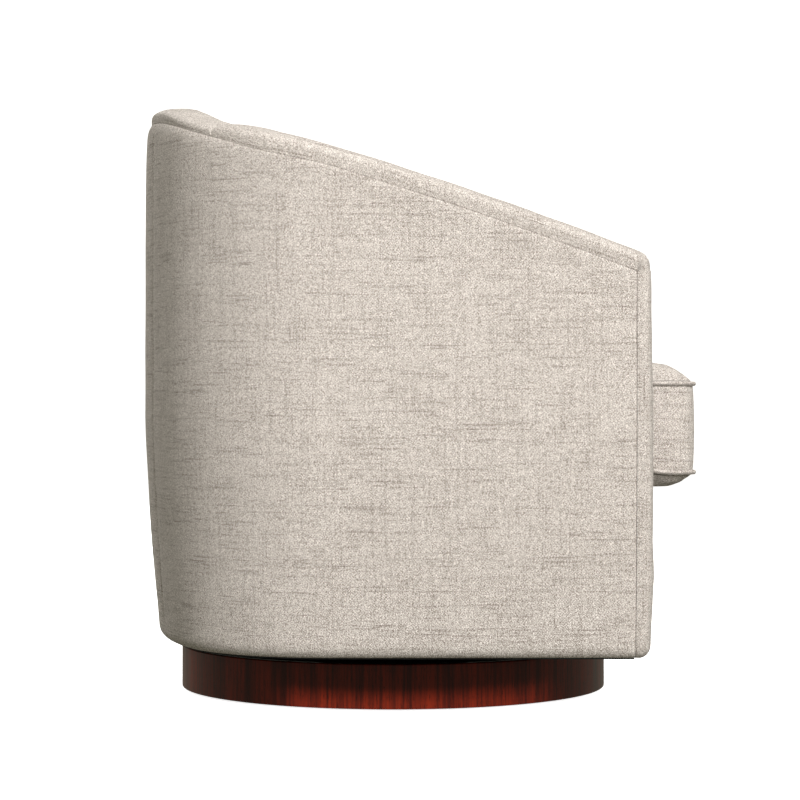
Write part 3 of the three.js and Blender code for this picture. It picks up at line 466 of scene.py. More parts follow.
def set_weave(mesh, weave):
    flat = np.zeros((len(mesh.vertices), 3), np.float32)
    flat[:, :2] = np.asarray(weave).reshape(-1, 2)
    data = mesh.attributes.new("weave", "FLOAT_VECTOR", "POINT")
    data.data.foreach_set("vector", flat.ravel())


def full_turn(count):
    """Angles of a full turn in even steps."""
    return np.linspace(0, 2 * math.pi, count, endpoint=False)


def ring_faces(count, size, closed):
    """Squares between neighbouring rings of points."""
    near = np.arange(count if closed else count - 1)[:, None] * size
    far = (near + size) % (count * size)
    j = np.arange(size)[None, :]
    k = (j + 1) % size
    return np.stack([near + j, far + j, far + k, near + k], axis=-1).reshape(-1, 4).tolist()


def swept(name, rings, weave):
    """A closed piece through rings, each of which goes up one side of a section and back down
    the other, with a ladder of squares over both ends."""
    count, size = rings.shape[:2]
    faces = ring_faces(count, size, False)
    last = (count - 1) * size
    for i in range(size // 2 - 1):
        across = size - 1 - i
        faces.append([i, i + 1, across - 1, across])
        faces.append([last + across, last + across - 1, last + i + 1, last + i])
    return outward(place_mesh(name, rings, faces, weave))


def outward(piece):
    """Turns all faces out."""
    mesh = piece.data
    mesh.calc_loop_triangles()
    corners = np.array([t.vertices for t in mesh.loop_triangles])
    points = np.array([v.co for v in mesh.vertices])
    a, b, c = (points[corners[:, i]] for i in range(3))
    if np.einsum("ij,ij->i", a, np.cross(b, c)).sum() < 0:
        mesh.flip_normals()
    return piece


def finish_piece(piece, material, body, slot, *nodes, fill=None):
    """Gives a piece its material and body, and hides the CAD nodes that it stands for. The slot is not used."""
    piece.data.materials.clear()
    piece.data.materials.append(material)
    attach(piece, body)
    if nodes:
        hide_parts(*nodes)
    return piece


def cover_in_linen(piece, node, body="tub", fill=0.8):
    """Finishes a cover in the chair's linen."""
    finish_piece(piece, shared_material("linen_plain_woven"), body, "linen", node, fill=fill)


def finish_foam(piece, node, body="tub"):
    """Finishes a block of foam, which is always full."""
    finish_piece(piece, shared_material("foam_cut"), body, "foam", node, fill=1.0)


# Materials

def linear(code):
    """sRGB hex digits as a linear colour."""
    parts = [int(code[i:i + 2], 16) / 255 for i in (0, 2, 4)]
    return [p / 12.92 if p <= 0.04045 else ((p + 0.055) / 1.055) ** 2.4 for p in parts] + [1.0]


def add_node(tree, kind, inputs, output=0, **fields):
    """Adds a node with its settings, gives each input a value or a link, and returns the
    output asked for, or the node itself. Inputs by number: of a mix, 0 is the share, 2 and 3 are
    the values and 6 and 7 the colours. A map range takes 0 from 1 and 2 to 3 and 4."""
    node = tree.nodes.new(kind)
    for field, value in fields.items():
        setattr(node, field, value)
    for key, value in inputs.items():
        if isinstance(value, bpy.types.NodeSocket):
            tree.links.new(value, node.inputs[key])
        else:
            node.inputs[key].default_value = value
    return node if output is None else node.outputs[output]


def finish_of(name, surface):
    """A material whose shader takes the inputs that a finish lays out in its tree."""
    material = bpy.data.materials.new(name)
    material.use_nodes = True
    tree = material.node_tree
    tree.nodes.clear()
    shader = add_node(tree, "ShaderNodeBsdfPrincipled", surface(tree))
    add_node(tree, "ShaderNodeOutputMaterial", {"Surface": shader}, None)
    return material


def streaks(tree, place, size, turn=0.0, detail=2.0):
    """Soft streaks of this size in metres, from 0 to 1."""
    placed = add_node(tree, "ShaderNodeMapping",
                      {"Vector": place, "Rotation": (0, 0, turn), "Scale": size},
                      vector_type="TEXTURE")
    return add_node(tree, "ShaderNodeTexNoise",
                    {"Vector": placed, "Scale": 1.0, "Detail": detail, "Roughness": 0.55})


# Slubs of the linen: where the noise turns into one and where it is darkest, how much longer those
# of the warp are, how dark its thin places are, and how much of one shows where its thread dives
SLUB_FROM, SLUB_FULL, WARP_STRETCH, WARP_LEAST, DIVED = 0.47, 0.80, 1.3, 0.2, 0.35
# Step of the noise from a thread to the next, and size of the clouds in which slubs gather
NEXT_THREAD, CLOUDS = 5.77, (0.060, 0.030, 1.0)


def linen(tree, turn=0.0):
    """Heathered linen, plain woven from slubby yarn and piece dyed: matt and dry, with a
    salt-and-pepper grain of single fibres, and thick dark places that run for some centimetres
    along a thread, more in the weft than in the warp. Real threads lie 0.9 mm apart and are
    drawn at twice that, so that a picture of the whole chair still shows them. Turn lays the
    cloth on the bias."""
    finishes = settings().finishes
    add = partial(add_node, tree)
    place = add("ShaderNodeAttribute", {}, "Vector", attribute_name="weave")
    thread, fibre = finishes.thread, finishes.fibre
    threads = add("ShaderNodeMapping", {"Vector": place, "Rotation": (0, 0, turn),
                                        "Scale": (thread, thread, 1.0)}, vector_type="TEXTURE")
    x, y = (add("ShaderNodeSeparateXYZ", {0: threads}, axis) for axis in "XY")
    column, row = (add("ShaderNodeMath", {0: value}, operation="FLOOR") for value in (x, y))
    tones = []
    # Each thread reads its own line of the noise, so its thick places run along it alone
    for along, line, stretch, least, most in (
            (x, row, 1.0, 0.0, finishes.weft_slubs),
            (y, column, WARP_STRETCH, WARP_LEAST, finishes.warp_slubs)):
        run = add("ShaderNodeMath", {0: along, 1: thread / finishes.slub_length / stretch},
                  operation="MULTIPLY")
        own_line = add("ShaderNodeMath", {0: line, 1: NEXT_THREAD}, operation="MULTIPLY")
        spot = add("ShaderNodeCombineXYZ", {"X": run, "Y": own_line})
        noise = add("ShaderNodeTexNoise", {"Vector": spot, "Scale": 1.0, "Detail": 2.0,
                                           "Roughness": 0.6}, noise_dimensions="2D")
        tones.append(add("ShaderNodeMapRange", {0: noise, 1: SLUB_FROM, 2: SLUB_FULL, 3: least,
                                                4: most}, interpolation_type="SMOOTHSTEP"))
    weft, warp = tones
    count = add("ShaderNodeMath", {0: column, 1: row}, operation="ADD")
    on_top = add("ShaderNodeMath", {0: count, 1: 1.0}, operation="PINGPONG")
    woven = add("ShaderNodeMix", {0: on_top, 2: warp, 3: weft}, data_type="FLOAT")
    darker = add("ShaderNodeMath", {0: weft, 1: warp}, operation="MAXIMUM")
    slub = add("ShaderNodeMix", {0: DIVED, 2: woven, 3: darker}, data_type="FLOAT")
    cloud = streaks(tree, place, CLOUDS, turn)
    clustered = add("ShaderNodeMapRange", {0: cloud, 1: 0.35, 2: 0.65, 3: 0.75, 4: 1.0})
    slub = add("ShaderNodeMath", {0: slub, 1: clustered}, operation="MULTIPLY")
    spots = add("ShaderNodeMapping", {"Vector": place, "Scale": (fibre, fibre, 1.0)},
                vector_type="TEXTURE")
    spots = add("ShaderNodeVectorMath", {0: spots}, operation="FLOOR")
    fleck = add("ShaderNodeTexWhiteNoise", {"Vector": spots}, noise_dimensions="2D")
    dark = add("ShaderNodeMath", {0: fleck, 1: finishes.heather, 2: slub},
               operation="MULTIPLY_ADD", use_clamp=True)
    colour = add("ShaderNodeMix", {0: dark, 6: linear(finishes.light_thread),
                                   7: linear(finishes.slub)}, 2, data_type="RGBA")
    over = add("ShaderNodeMath", {0: on_top, 1: 0.7, 2: fleck}, operation="MULTIPLY_ADD")
    height = add("ShaderNodeMath", {0: over, 1: slub}, operation="SUBTRACT")
    normal = add("ShaderNodeBump", {"Height": height, "Strength": 0.8, "Distance": 0.0008})
    return {"Base Color": colour, "Roughness": 0.95, "Specular IOR Level": 0.2,
            "Sheen Weight": 0.06, "Sheen Roughness": 0.6, "Normal": normal}


# Veneer: sizes of its figure and its pores, length of a grain line, and share of the grain
FIGURE, PORE, GRAIN_LENGTH, GRAIN_SHARE = (0.028, 0.35, 1.0), (0.3, 0.012), 0.09, 0.45


def veneer(tree):
    """Mahogany veneer, stained red-brown and finished in gloss lacquer: upright grain with dark
    pores under a clear coat that mirrors softly."""
    finishes = settings().finishes
    add = partial(add_node, tree)
    place = add("ShaderNodeAttribute", {}, "Vector", attribute_name="weave")
    figure = streaks(tree, place, FIGURE, detail=3.0)
    grain = streaks(tree, place, (finishes.grain, GRAIN_LENGTH, 1.0), detail=4.0)
    pores = streaks(tree, place, (finishes.grain * PORE[0], PORE[1], 1.0), detail=1.0)
    both = add("ShaderNodeMix", {0: GRAIN_SHARE, 2: figure, 3: grain}, data_type="FLOAT")
    light = add("ShaderNodeMapRange", {0: both, 1: 0.38, 2: 0.64},
                interpolation_type="SMOOTHSTEP")
    wood = add("ShaderNodeMix", {0: light, 6: linear(finishes.veneer_mid),
                                 7: linear(finishes.veneer_light)}, 2, data_type="RGBA")
    pore = add("ShaderNodeMapRange", {0: pores, 1: 0.58, 2: 0.72, 3: 0.0, 4: 0.7},
               interpolation_type="SMOOTHSTEP")
    colour = add("ShaderNodeMix", {0: pore, 6: wood, 7: linear(finishes.veneer_dark)}, 2,
                 data_type="RGBA")
    rough = add("ShaderNodeMapRange", {0: grain, 1: 0.3, 2: 0.7, 3: 0.30, 4: 0.42})
    normal = add("ShaderNodeBump", {"Height": pores, "Strength": 0.12, "Distance": 0.0002})
    return {"Base Color": colour, "Roughness": rough, "Specular IOR Level": 0.18,
            "Coat Weight": 0.16, "Coat Roughness": 0.12, "Normal": normal}


def plain(tree, code, roughness, streak, metallic=0.0, contrast=0.12, depth=0.0001):
    """A finish in one colour, streaked and worn at a real size from the object's own place."""
    add = partial(add_node, tree)
    noise = streaks(tree, add("ShaderNodeTexCoord", {}, "Object"), streak, detail=3.0)
    base = linear(code)
    dark, light = ([min(1.0, c * (1 + part)) for c in base[:3]] + [1.0]
                   for part in (-contrast, contrast))
    tone = add("ShaderNodeMapRange", {0: noise, 1: 0.35, 2: 0.65},
               interpolation_type="SMOOTHSTEP")
    colour = add("ShaderNodeMix", {0: tone, 6: dark, 7: light}, 2, data_type="RGBA")
    rough = add("ShaderNodeMapRange", {0: noise, 1: 0.3, 2: 0.7, 3: roughness * 0.9,
                                       4: min(1.0, roughness * 1.1)})
    normal = add("ShaderNodeBump", {"Height": noise, "Strength": 0.3, "Distance": depth})
    return {"Base Color": colour, "Roughness": rough, "Metallic": metallic, "Normal": normal}


def shared_material(name):
    """A finish of the chair, made once."""
    if name in bpy.data.materials:
        return bpy.data.materials[name]
    finishes = settings().finishes
    made = {
        "linen_plain_woven": linen,
        # The same linen, cut on the bias for the piping, so that its threads run slantwise
        "linen_piping_on_bias": partial(linen, turn=math.radians(45)),
        "mahogany_veneer_lacquered": veneer,
        # Polyurethane foam, cut from a block: dull, with open pores of 2 mm
        "foam_cut": partial(plain, code=finishes.foam, roughness=0.9, streak=[0.002] * 3,
                            depth=0.0006),
        # Cambric, spun-bonded and dyed black: dull, with a fine random fibre
        "cambric_spun_bonded": partial(plain, code=finishes.cambric, roughness=0.9,
                                       streak=[0.0015] * 3, contrast=0.3),
        # Poplar, sawn and dried: pale, with rough grain lines
        "poplar_sawn": partial(plain, code=finishes.frame_wood, roughness=0.75,
                               streak=(0.09, 0.09, 0.004), contrast=0.22),
        # Birch plywood, stained black-brown and dark enough to also paint the shade in the gap under the tub:
        # dull, with a faint grain
        "plywood_stained": partial(plain, code=finishes.stained_board, roughness=0.8,
                                   streak=(0.10, 0.004, 0.004), contrast=0.3),
        # Steel, zinc plated: grey and a little cloudy
        "steel_zinc_plated": partial(plain, code=finishes.zinc, roughness=0.35,
                                     streak=[0.006] * 3, metallic=1.0, depth=0.00002),
        # Nylon, moulded: dark, with a faint mould grain
        "nylon_moulded": partial(plain, code=finishes.nylon, roughness=0.5,
                                 streak=[0.0012] * 3, depth=0.00005),
    }
    return finish_of(name, made[name])


def floor_paint(tree):
    """Matt emulsion rolled on a studio floor, lit so far that it shows white."""
    return {"Base Color": linear(settings().stage.floor), "Roughness": 0.9,
            "Specular IOR Level": 0.1, "Emission Color": (1, 1, 1, 1), "Emission Strength": 0.86}


def dress(node, material):
    """Gives a mesh object one material, through its own material slots."""
    if not node.material_slots:
        node.data.materials.append(material)
    for slot in node.material_slots:
        slot.link = "OBJECT"
        slot.material = material


# Covers

# Points over a quarter of a turn
ARC_STEPS = 9
# Swell beside a top seam: its place below the seam and its height
PUFF_PLACE, PUFF_WIDTH = 0.009, 0.012
# Draw beside a cross seam, with the distance in which it fades, and that of the back's tuck
END_SINK, END_FADE, TUCK_FADE = 0.0013, 0.008, 0.013
# Length of the waves, and the height over the hem in which they start
OUTSIDE_WAVE, HEM_CALM = 0.13, 0.05


def outside_panel(name, start, stop, seed, swells):
    """Cover and wadding on the outside of the wall, from seam to seam, turned in at the hem. The
    back's swells out between its seams."""
    tub, sewing = settings().tub, settings().sewing
    reach = graded(start, stop, sewing.grid)[:, None]
    top = seam_of(reach) - FIT_GAP
    low = tub.bottom + tub.bottom_round
    rows = graded(0.0, float(np.mean(top)) - low, sewing.grid)
    near, edge = len(NEAR_SEAM), NEAR_SEAM[-1]
    body = rows[near - 1:-near] / (rows[-1] - edge) * (top - edge - low) + low
    height = np.concatenate([body, top + (rows[-near:] - rows[-1])], axis=1)
    from_top = top - height
    from_end = np.minimum(np.abs(reach - start), np.abs(reach - stop))
    roll = np.maximum(seam_roll(from_top), seam_roll(from_end))
    puff = sewing.seam_puff * np.exp(-((from_top - PUFF_PLACE) / PUFF_WIDTH) ** 2)
    sink = END_SINK * np.exp(-from_end / END_FADE)
    sink = sink + back_share(reach) * sewing.back_tuck * np.exp(-from_top / TUCK_FADE)
    folds = gathers(reach + 0 * height, from_top, seed) + gathers(height, from_end, seed + 1)
    waves = unevenness(reach, height, OUTSIDE_WAVE, seed + 2, from_top)
    waves = waves * smooth((height - low) / HEM_CALM)
    inset = roll + sink - puff - folds - waves - swells * back_bulge(reach, height, top)
    turn = np.linspace(0, 1, ARC_STEPS)
    sine, cosine = np.sin(QUARTER * turn), np.cos(QUARTER * turn)
    ends = seam_roll(from_end)
    inner_round = tub.bottom_round - mix(tub.hem_thickness, tub.pad, turn)
    zeros = 0 * reach
    # Insets and heights of the hem, the bend and the wall, outside and inside
    outer = [(zeros + tub.hem_width, zeros + tub.bottom),
             (tub.bottom_round * (1 - sine) + ends * sine,
              tub.bottom + tub.bottom_round * (1 - cosine) + ends * cosine), (inset, height)]
    inner = [(zeros + tub.hem_width, zeros + tub.bottom + tub.hem_thickness),
             (zeros + tub.bottom_round - inner_round * sine,
              zeros + tub.bottom + tub.bottom_round - inner_round * cosine),
             (tub.pad + 0 * height, height)]
    outer, inner = ([np.concatenate(parts, axis=1) for parts in zip(*line)]
                    for line in (outer, inner))
    rings = there_and_back(wall_points(reach, *outer), wall_points(reach, *inner))
    return swept(name, rings, pairs(reach, there_and_back(outer[1], outer[1])))


# How flat the swell is across the back, and the height over the hem where it starts
BULGE_POWER, BULGE_START = 4, 0.05


def back_bulge(reach, height, top):
    """Swell of the outside back, across it and up it."""
    tub = settings().tub
    across = np.clip(1 - (reach / reach_of(tub.back_angle)) ** BULGE_POWER, 0, 1)
    low = tub.bottom + BULGE_START
    up = np.clip((height - low) / (top - low), 0, 1)
    return tub.rear_bulge * across * np.sqrt(np.sin(math.pi * up))


# Section of the band: how square its dome is, the shares of its depth at which its shoulder
# starts and its tuck ends, the points over its dome, and the shares of depth at its foot
BAND_POWER, BAND_SHOULDER, BAND_TUCK_END, BAND_POINTS = 2.6, 0.4, 0.33, 27
BAND_FOOT = np.array([0.0, 0.02, 0.06, 0.12, 0.2, 0.3, BAND_SHOULDER])


def band_section():
    """Domed section of the band: shares of its width and depth, and how far each point is drawn
    in by the seams. It runs from the outer seam over the crown to the inner one."""
    turn = np.linspace(0, math.pi, BAND_POINTS)[1:-1]
    power = 2 / BAND_POWER
    across = 0.5 * (1 - np.sign(np.cos(turn)) * np.abs(np.cos(turn)) ** power)
    up = mix(BAND_SHOULDER, 1.0, np.sin(turn) ** power)
    tuck = np.clip(1 - BAND_FOOT / BAND_TUCK_END, 0, 1) ** 2
    zeros = np.zeros_like(BAND_FOOT)
    return (np.concatenate([zeros, across, zeros + 1]),
            np.concatenate([BAND_FOOT, up, BAND_FOOT[::-1]]),
            np.concatenate([tuck, 0 * turn, -tuck[::-1]]))


# Half width of the dip at a cross seam, and length of the band's waves
DIP_WIDTH, BAND_WAVE = 0.013, 0.075
# Where a back corner is drawn down, behind the swivel axis, and over what length
DRAW_PLACE, DRAW_WIDTH = 0.264, 0.040
# Shares of the band's depth where its side ends and where its waves and gathers are full, and
# the share of its width that is tucked behind the panel below
SIDE_END, WAVE_FULL, GATHER_FULL, TUCKED = 0.9, 0.5, 0.3, 0.3


def top_band_rings(reach, ends):
    """Rings of the band along the top. Ends are the reaches of the cross seams."""
    tub, sewing = settings().tub, settings().sewing
    across, up, tuck = band_section()
    reach = reach[:, None]
    base, depth = seam_of(reach), band_depth_of(reach)
    width = wall_thickness(reach, base)
    from_end = np.min([np.abs(reach - end) for end in ends], axis=0)
    roll = seam_roll(from_end)
    _, y, _, ny, _ = outline(reach)
    drop = crest_at(y - ny * width * across) - crest_of(reach)
    depth = depth + tub.band_lean * np.minimum(0, drop)
    dip = sewing.seam_dip * np.exp(-(from_end / DIP_WIDTH) ** 2)
    side = np.sign(0.5 - across) * (up < SIDE_END)
    seed = SEEDS["band"]
    folds = gathers(reach, up * depth, seed) + gathers(across * width, from_end, seed + 1)
    waves = sewing.unevenness * ripple(reach, across * width, BAND_WAVE, seed + 2)
    draw = sewing.corner_draw * np.exp(-((y - SWIVEL_Y - DRAW_PLACE) / DRAW_WIDTH) ** 2)
    crown = depth * up + (waves - roll - dip - draw + folds) * smooth(up / WAVE_FULL)
    back = back_share(reach)
    inset = width * across + sewing.band_tuck * (1 - sewing.back_flat * back) * tuck
    inset = inset + side * (roll - folds) * smooth(up / GATHER_FULL)
    inset = inset + back * sewing.back_tuck * np.clip(1 - across / TUCKED, 0, 1)
    return wall_points(reach, inset, base + crown, 0.0)


def run_along(path):
    """Distance of each point of a path from its start, along it."""
    return np.r_[0, np.cumsum(np.linalg.norm(np.diff(path, axis=0), axis=1))]


def band_weave(rings):
    """Place of each point in the flat cloth: along the band and across it."""
    steps = np.linalg.norm(np.diff(rings, axis=1), axis=2)
    across = np.concatenate([np.zeros((len(rings), 1)), np.cumsum(steps, axis=1)], axis=1)
    return pairs(run_along(rings[:, rings.shape[1] // 2])[:, None], across)


# Swell of the wadding in an arm's front, at these heights
SWELL_HEIGHTS = 0.09, 0.12, 0.175, 0.22, 0.40, 0.48, 0.55
SWELLS = 0.0020, 0.0030, 0.0060, 0.0042, 0.0037, 0.0022, 0.0012


def swell_at(level):
    """How far the wadding swells an arm's front out at a height."""
    return float(np.interp(level, SWELL_HEIGHTS, SWELLS))


# Turn of the band over an arm's front: its angles in degrees, how square it is, and the depth
# of the pinch at its corner, with the corner's angle and the pinch's half width in degrees
TURN_ANGLES = 9, 20, 31, 39, 43, 44.7, 45.3, 47, 51, 59, 70, 81
TURN_POWER, PINCH, PINCH_ANGLE, PINCH_WIDTH = 3.4, 0.045, 45, 2
# Front of the band: rows, share of its fullness and length of its waves, the height in which they
# start, and how full it still is at the hem
FRONT_ROWS, FRONT_WAVE, FRONT_WAVE_LENGTH, FRONT_CALM, HEM_FULLNESS = 62, 0.035, 0.07, 0.02, 0.4
# Distance over which the crest's slope is taken
SLOPE_STEP = 0.02


def front_band_rings(side):
    """Rings of the band from the turn over an arm's front, down to the hem."""
    tub, sewing = settings().tub, settings().sewing
    across, up, tuck = band_section()
    crown = crest_at(tub.front_seam)
    base = crown - tub.band_depth
    slope = (crest_at(tub.front_seam + SLOPE_STEP) - crown) / SLOPE_STEP
    inset = tub.arm_wall * across + sewing.band_tuck * tuck
    rings = []

    def add(level, depth, fullness, lift=0.0, pinch=0.0):
        rise = np.maximum(up * fullness - pinch * smooth(up / BAND_SHOULDER), 0)
        height = level + lift * rise
        foot = np.clip(1 - (height - tub.bottom) / tub.bottom_round, 0, 1)
        follow = taper_at(height) + tub.bottom_round * (1 - np.sqrt(1 - foot ** 2))
        x = side * (tub.half_width - inset - follow * (1 - across))
        y = tub.front_seam - depth * rise
        height = height - slope * depth * rise * np.clip((height - base) / tub.band_depth, 0, 1)
        rings.append(np.stack([x, y, height], axis=-1))

    for degrees in TURN_ANGLES:
        cosine, sine = math.cos(math.radians(degrees)), math.sin(math.radians(degrees))
        size = (cosine ** TURN_POWER + sine ** TURN_POWER) ** (-1 / TURN_POWER)
        add(base, tub.front_depth * size * sine, 1.0, tub.band_depth * size * cosine,
            PINCH * math.exp(-((degrees - PINCH_ANGLE) / PINCH_WIDTH) ** 2))
    low = tub.bottom + tub.bottom_round
    for level in np.linspace(base, low, FRONT_ROWS):
        wave = FRONT_WAVE * ripple(across * tub.arm_wall, level, FRONT_WAVE_LENGTH,
                                   SEEDS["front_band"])
        add(level, tub.front_depth + swell_at(level),
            1.0 + wave * smooth((base - level) / FRONT_CALM))
    for turn in np.linspace(0, QUARTER, ARC_STEPS)[1:]:
        add(low - tub.bottom_round * math.sin(turn), tub.front_depth + swell_at(low),
            mix(HEM_FULLNESS, 1.0, math.cos(turn)))
    return np.array(rings)


# Rows of an inside cover, as a share of its height, the length of its waves, and the depth and
# fade of its draw beside a seam
INSIDE_STEP, INSIDE_WAVE, INSIDE_SINK, INSIDE_FADE = 0.028, 0.11, 0.0012, 0.012


def inside_panel(name, start, stop, seed):
    """Cover on the inside of the wall, from below the deck to the band."""
    tub, sewing = settings().tub, settings().sewing
    reach = graded(start, stop, sewing.grid)[:, None]
    top = seam_of(reach) - FIT_GAP
    height = mix(DECK_LOW, top, graded(0.0, 1.0, INSIDE_STEP))
    from_top = top - height
    from_end = np.minimum(np.abs(reach - start), np.abs(reach - stop)) + 0 * height
    roll = np.maximum(seam_roll(from_top), seam_roll(from_end))
    waves = unevenness(reach, height, INSIDE_WAVE, seed, from_top)
    sink = INSIDE_SINK * np.exp(-np.minimum(from_top, from_end) / INSIDE_FADE)
    folds = gathers(reach + 0 * height, from_top, seed + 1) + gathers(height, from_end, seed + 2)
    face, back = wall_thickness(reach, height), wall_thickness(reach, height) - tub.inner_pad
    face = face - roll - sink + waves + folds
    rings = there_and_back(wall_points(reach, face, height, 0.0),
                           wall_points(reach, back, height, 0.0))
    return swept(name, rings, pairs(reach, there_and_back(height, height)))


# Foam: distance between its sections, rows, and depth and length of its waves
FOAM_STEP, FOAM_ROWS, FOAM_SINK, FOAM_WAVE = 0.03, 15, 0.0008, 0.06


def padding(name, start, stop):
    """Foam between the frame and the inside cover."""
    tub = settings().tub
    reach = np.linspace(start, stop, max(3, int(abs(stop - start) / FOAM_STEP)))[:, None]
    height = mix(DECK_LOW, seam_of(reach) - FIT_GAP, np.linspace(0, 1, FOAM_ROWS))
    face = wall_thickness(reach, height) - tub.inner_pad - 2 * FIT_GAP
    face = face - FOAM_SINK * (1 + ripple(reach, height, FOAM_WAVE, SEEDS["padding"]))
    rings = there_and_back(wall_points(reach, face, height, 0.0),
                           wall_points(reach, tub.foam_outer, height))
    return swept(name, rings, rings[..., [0, 2]])


# Cushion, deck and panels that lie flat

# Seam line of the cushion: distance between its places, for the form and for measuring, points
# of its three stretches, where the side leaves the arm's front seam, and what counts as one place
LOOP_STEP, FINE_STEP = 0.006, 0.001
FRONT_POINTS, CORNER_POINTS, WALL_POINTS = 20, 14, 160
WALL_START, SAME_PLACE = 0.02, 1e-7


def cushion_outline(step=LOOP_STEP):
    """Seam line of the seat cushion in plan, anticlockwise from the middle of its front."""
    tub, cushion = settings().tub, settings().cushion
    front = CUSHION_LOW.y - cushion.front_swell
    side_x = tub.half_width - tub.arm_wall - cushion.clearance
    corner_x = side_x - cushion.corner
    corner_y = front + cushion.bow + cushion.corner
    part = np.linspace(0, 1, FRONT_POINTS)
    bowed = np.stack([corner_x * part, front + cushion.bow * part ** 2], -1)
    turn = np.linspace(0, QUARTER, CORNER_POINTS)
    corner = np.stack([corner_x + cushion.corner * np.sin(turn),
                       corner_y - cushion.corner * np.cos(turn)], -1)
    reach = np.linspace(front_reach() - WALL_START, 0, WALL_POINTS)
    seam = wall_thickness(reach, DECK_TOP) + cushion.clearance
    wall = wall_points(reach, seam, DECK_TOP, 0.0)[:, :2]
    loop = mirrored(np.concatenate([bowed, corner, wall]))
    gaps = np.linalg.norm(np.diff(loop, axis=0), axis=1)
    loop, gaps = loop[np.r_[True, gaps > SAME_PLACE]], gaps[gaps > SAME_PLACE]
    along = np.r_[0, np.cumsum(gaps)]
    places = np.linspace(0, along[-1], int(along[-1] / step), endpoint=False)
    points = np.stack([np.interp(places, along, loop[:, i]) for i in (0, 1)], -1)
    # Places count both ways from the middle of the front, so the weave meets behind the zip
    return points, np.where(places > along[-1] / 2, places - along[-1], places)


def mirrored(right):
    """A plan loop from its right half, which runs from the front to the back."""
    return np.concatenate([right, (right * [-1, 1])[::-1][1:]])


def lower_seam(y):
    """Height of the cushion's lower seam, which hangs a little past the arms."""
    tub, cushion = settings().tub, settings().cushion
    arm_front = tub.front_seam - tub.front_depth
    past = (arm_front + cushion.corner - y) / (arm_front - CUSHION_LOW.y)
    return cushion.lower_seam - cushion.droop * smooth(past)


def pillow(name, loop, rows):
    """A closed form from a plan loop and rows of (share of the loop, heights)."""
    middle = np.array([0.0, (loop[:, 1].min() + loop[:, 1].max()) / 2])
    rings = [np.insert(middle + (loop - middle) * part, 2, height, axis=1)
             for part, height in rows]
    size, count = len(loop), len(loop) * len(rings)
    ends = [np.append(middle, ring[:, 2].mean()) for ring in (rings[0], rings[-1])]
    faces = ring_faces(len(rings), size, False)
    for j in range(size):
        k = (j + 1) % size
        faces += [[count, j, k], [count + 1, count - size + k, count - size + j]]
    return outward(place_mesh(name, np.concatenate(rings + [ends]), faces))


# Distances of the form's rows from its seam, and rows of the boxing
CUSHION_EDGES = np.array([0.0015, 0.004, 0.007, 0.011, 0.016, 0.022, 0.030, 0.042, 0.060, 0.09,
                          0.14, 0.2])
BOXING_ROWS = 9
# Gap under the form, and the length in which its belly sinks in front of the deck
UNDER_GAP, BELLY_RUN = 0.001, 0.03


def cushion_rows(crown, squeeze=1.0, fullness=1.0):
    """Rows of the cushion's form, from the middle of its underside to the middle of its top.
    Squeeze is the share of its width, fullness that of its crown and its belly."""
    loop, _ = cushion_outline()
    cushion = settings().cushion
    y = loop[:, 1]
    seam, half = lower_seam(y), abs(CUSHION_LOW.y - CUSHION_HIGH.y) / 2
    low = CUSHION_LOW.z + UNDER_GAP - cushion.belly * smooth((BORDER_LOW.y - y) / BELLY_RUN)
    rows = []
    for edge in CUSHION_EDGES[::-1]:
        fall = (seam - low) * math.sin(QUARTER * min(1.0, edge / cushion.belly_edge))
        rows.append(((1 - edge / half) * squeeze, seam - fullness * fall))
    for part in np.linspace(0, 1, BOXING_ROWS):
        wide = 1 + cushion.bulge / half * math.sin(math.pi * part)
        rows.append((wide * squeeze, mix(seam, cushion.upper_seam, part)))
    for edge in CUSHION_EDGES:
        rise = cushion.crown_shoulder * (1 - math.exp(-edge / cushion.crown_edge))
        rise += (crown - cushion.crown_shoulder) * float(smooth(edge / CUSHION_EDGES[-1]))
        rows.append(((1 - edge / half) * squeeze, cushion.upper_seam + fullness * rise + 0 * y))
    return loop, rows


# Distances from a seam within which the cloth is held fast, and from which it is free
HOLD_FULL, HOLD_END = 0.003, 0.009
# Cloth of the simulation
STUFFING = {"quality": 5, "mass": 0.15, "tension_stiffness": 12, "compression_stiffness": 12,
            "shear_stiffness": 4, "bending_stiffness": 0.6, "use_pressure": True,
            "vertex_group_mass": "seams"}


def blow_up(piece):
    """Stuffs a closed cloth form by simulation: its seams are held, and the rest swells up to
    the cushion's limits. The result is left in the mesh."""
    cushion, scene = settings().cushion, bpy.context.scene
    remesh = piece.modifiers.new("voxels", "REMESH")
    remesh.mode, remesh.voxel_size = "VOXEL", cushion.voxel
    apply_modifiers(piece)
    rest = points_of(piece)
    group = piece.vertex_groups.new(name="seams")
    hold = np.clip((HOLD_END - seam_distance(rest)) / (HOLD_END - HOLD_FULL), 0, 1)
    for index in np.nonzero(hold > 0)[0]:
        group.add([int(index)], float(hold[index]), "REPLACE")
    cloth = piece.modifiers.new("stuffing", "CLOTH")
    for field, value in STUFFING.items():
        setattr(cloth.settings, field, value)
    cloth.settings.uniform_pressure_force = cushion.pressure
    cloth.settings.effector_weights.gravity = 0.0
    cloth.collision_settings.use_collision = False
    cloth.point_cache.frame_start, cloth.point_cache.frame_end = 1, cushion.frames
    for moment in range(1, cushion.frames + 1):
        scene.frame_set(moment)
    apply_modifiers(piece)
    scene.frame_set(1)
    moved = points_of(piece) - rest
    far = np.linalg.norm(moved, axis=1)
    # A point that stayed where it was has no direction to be cut back in
    moved *= (np.minimum(far, swell_limit(rest)) / np.maximum(far, 1e-9))[:, None]
    set_points(piece, rest + moved)


def points_of(piece):
    flat = np.zeros(len(piece.data.vertices) * 3)
    piece.data.vertices.foreach_get("co", flat)
    return flat.reshape(-1, 3)


def set_points(piece, points):
    piece.data.vertices.foreach_set("co", points.ravel())
    piece.data.update()


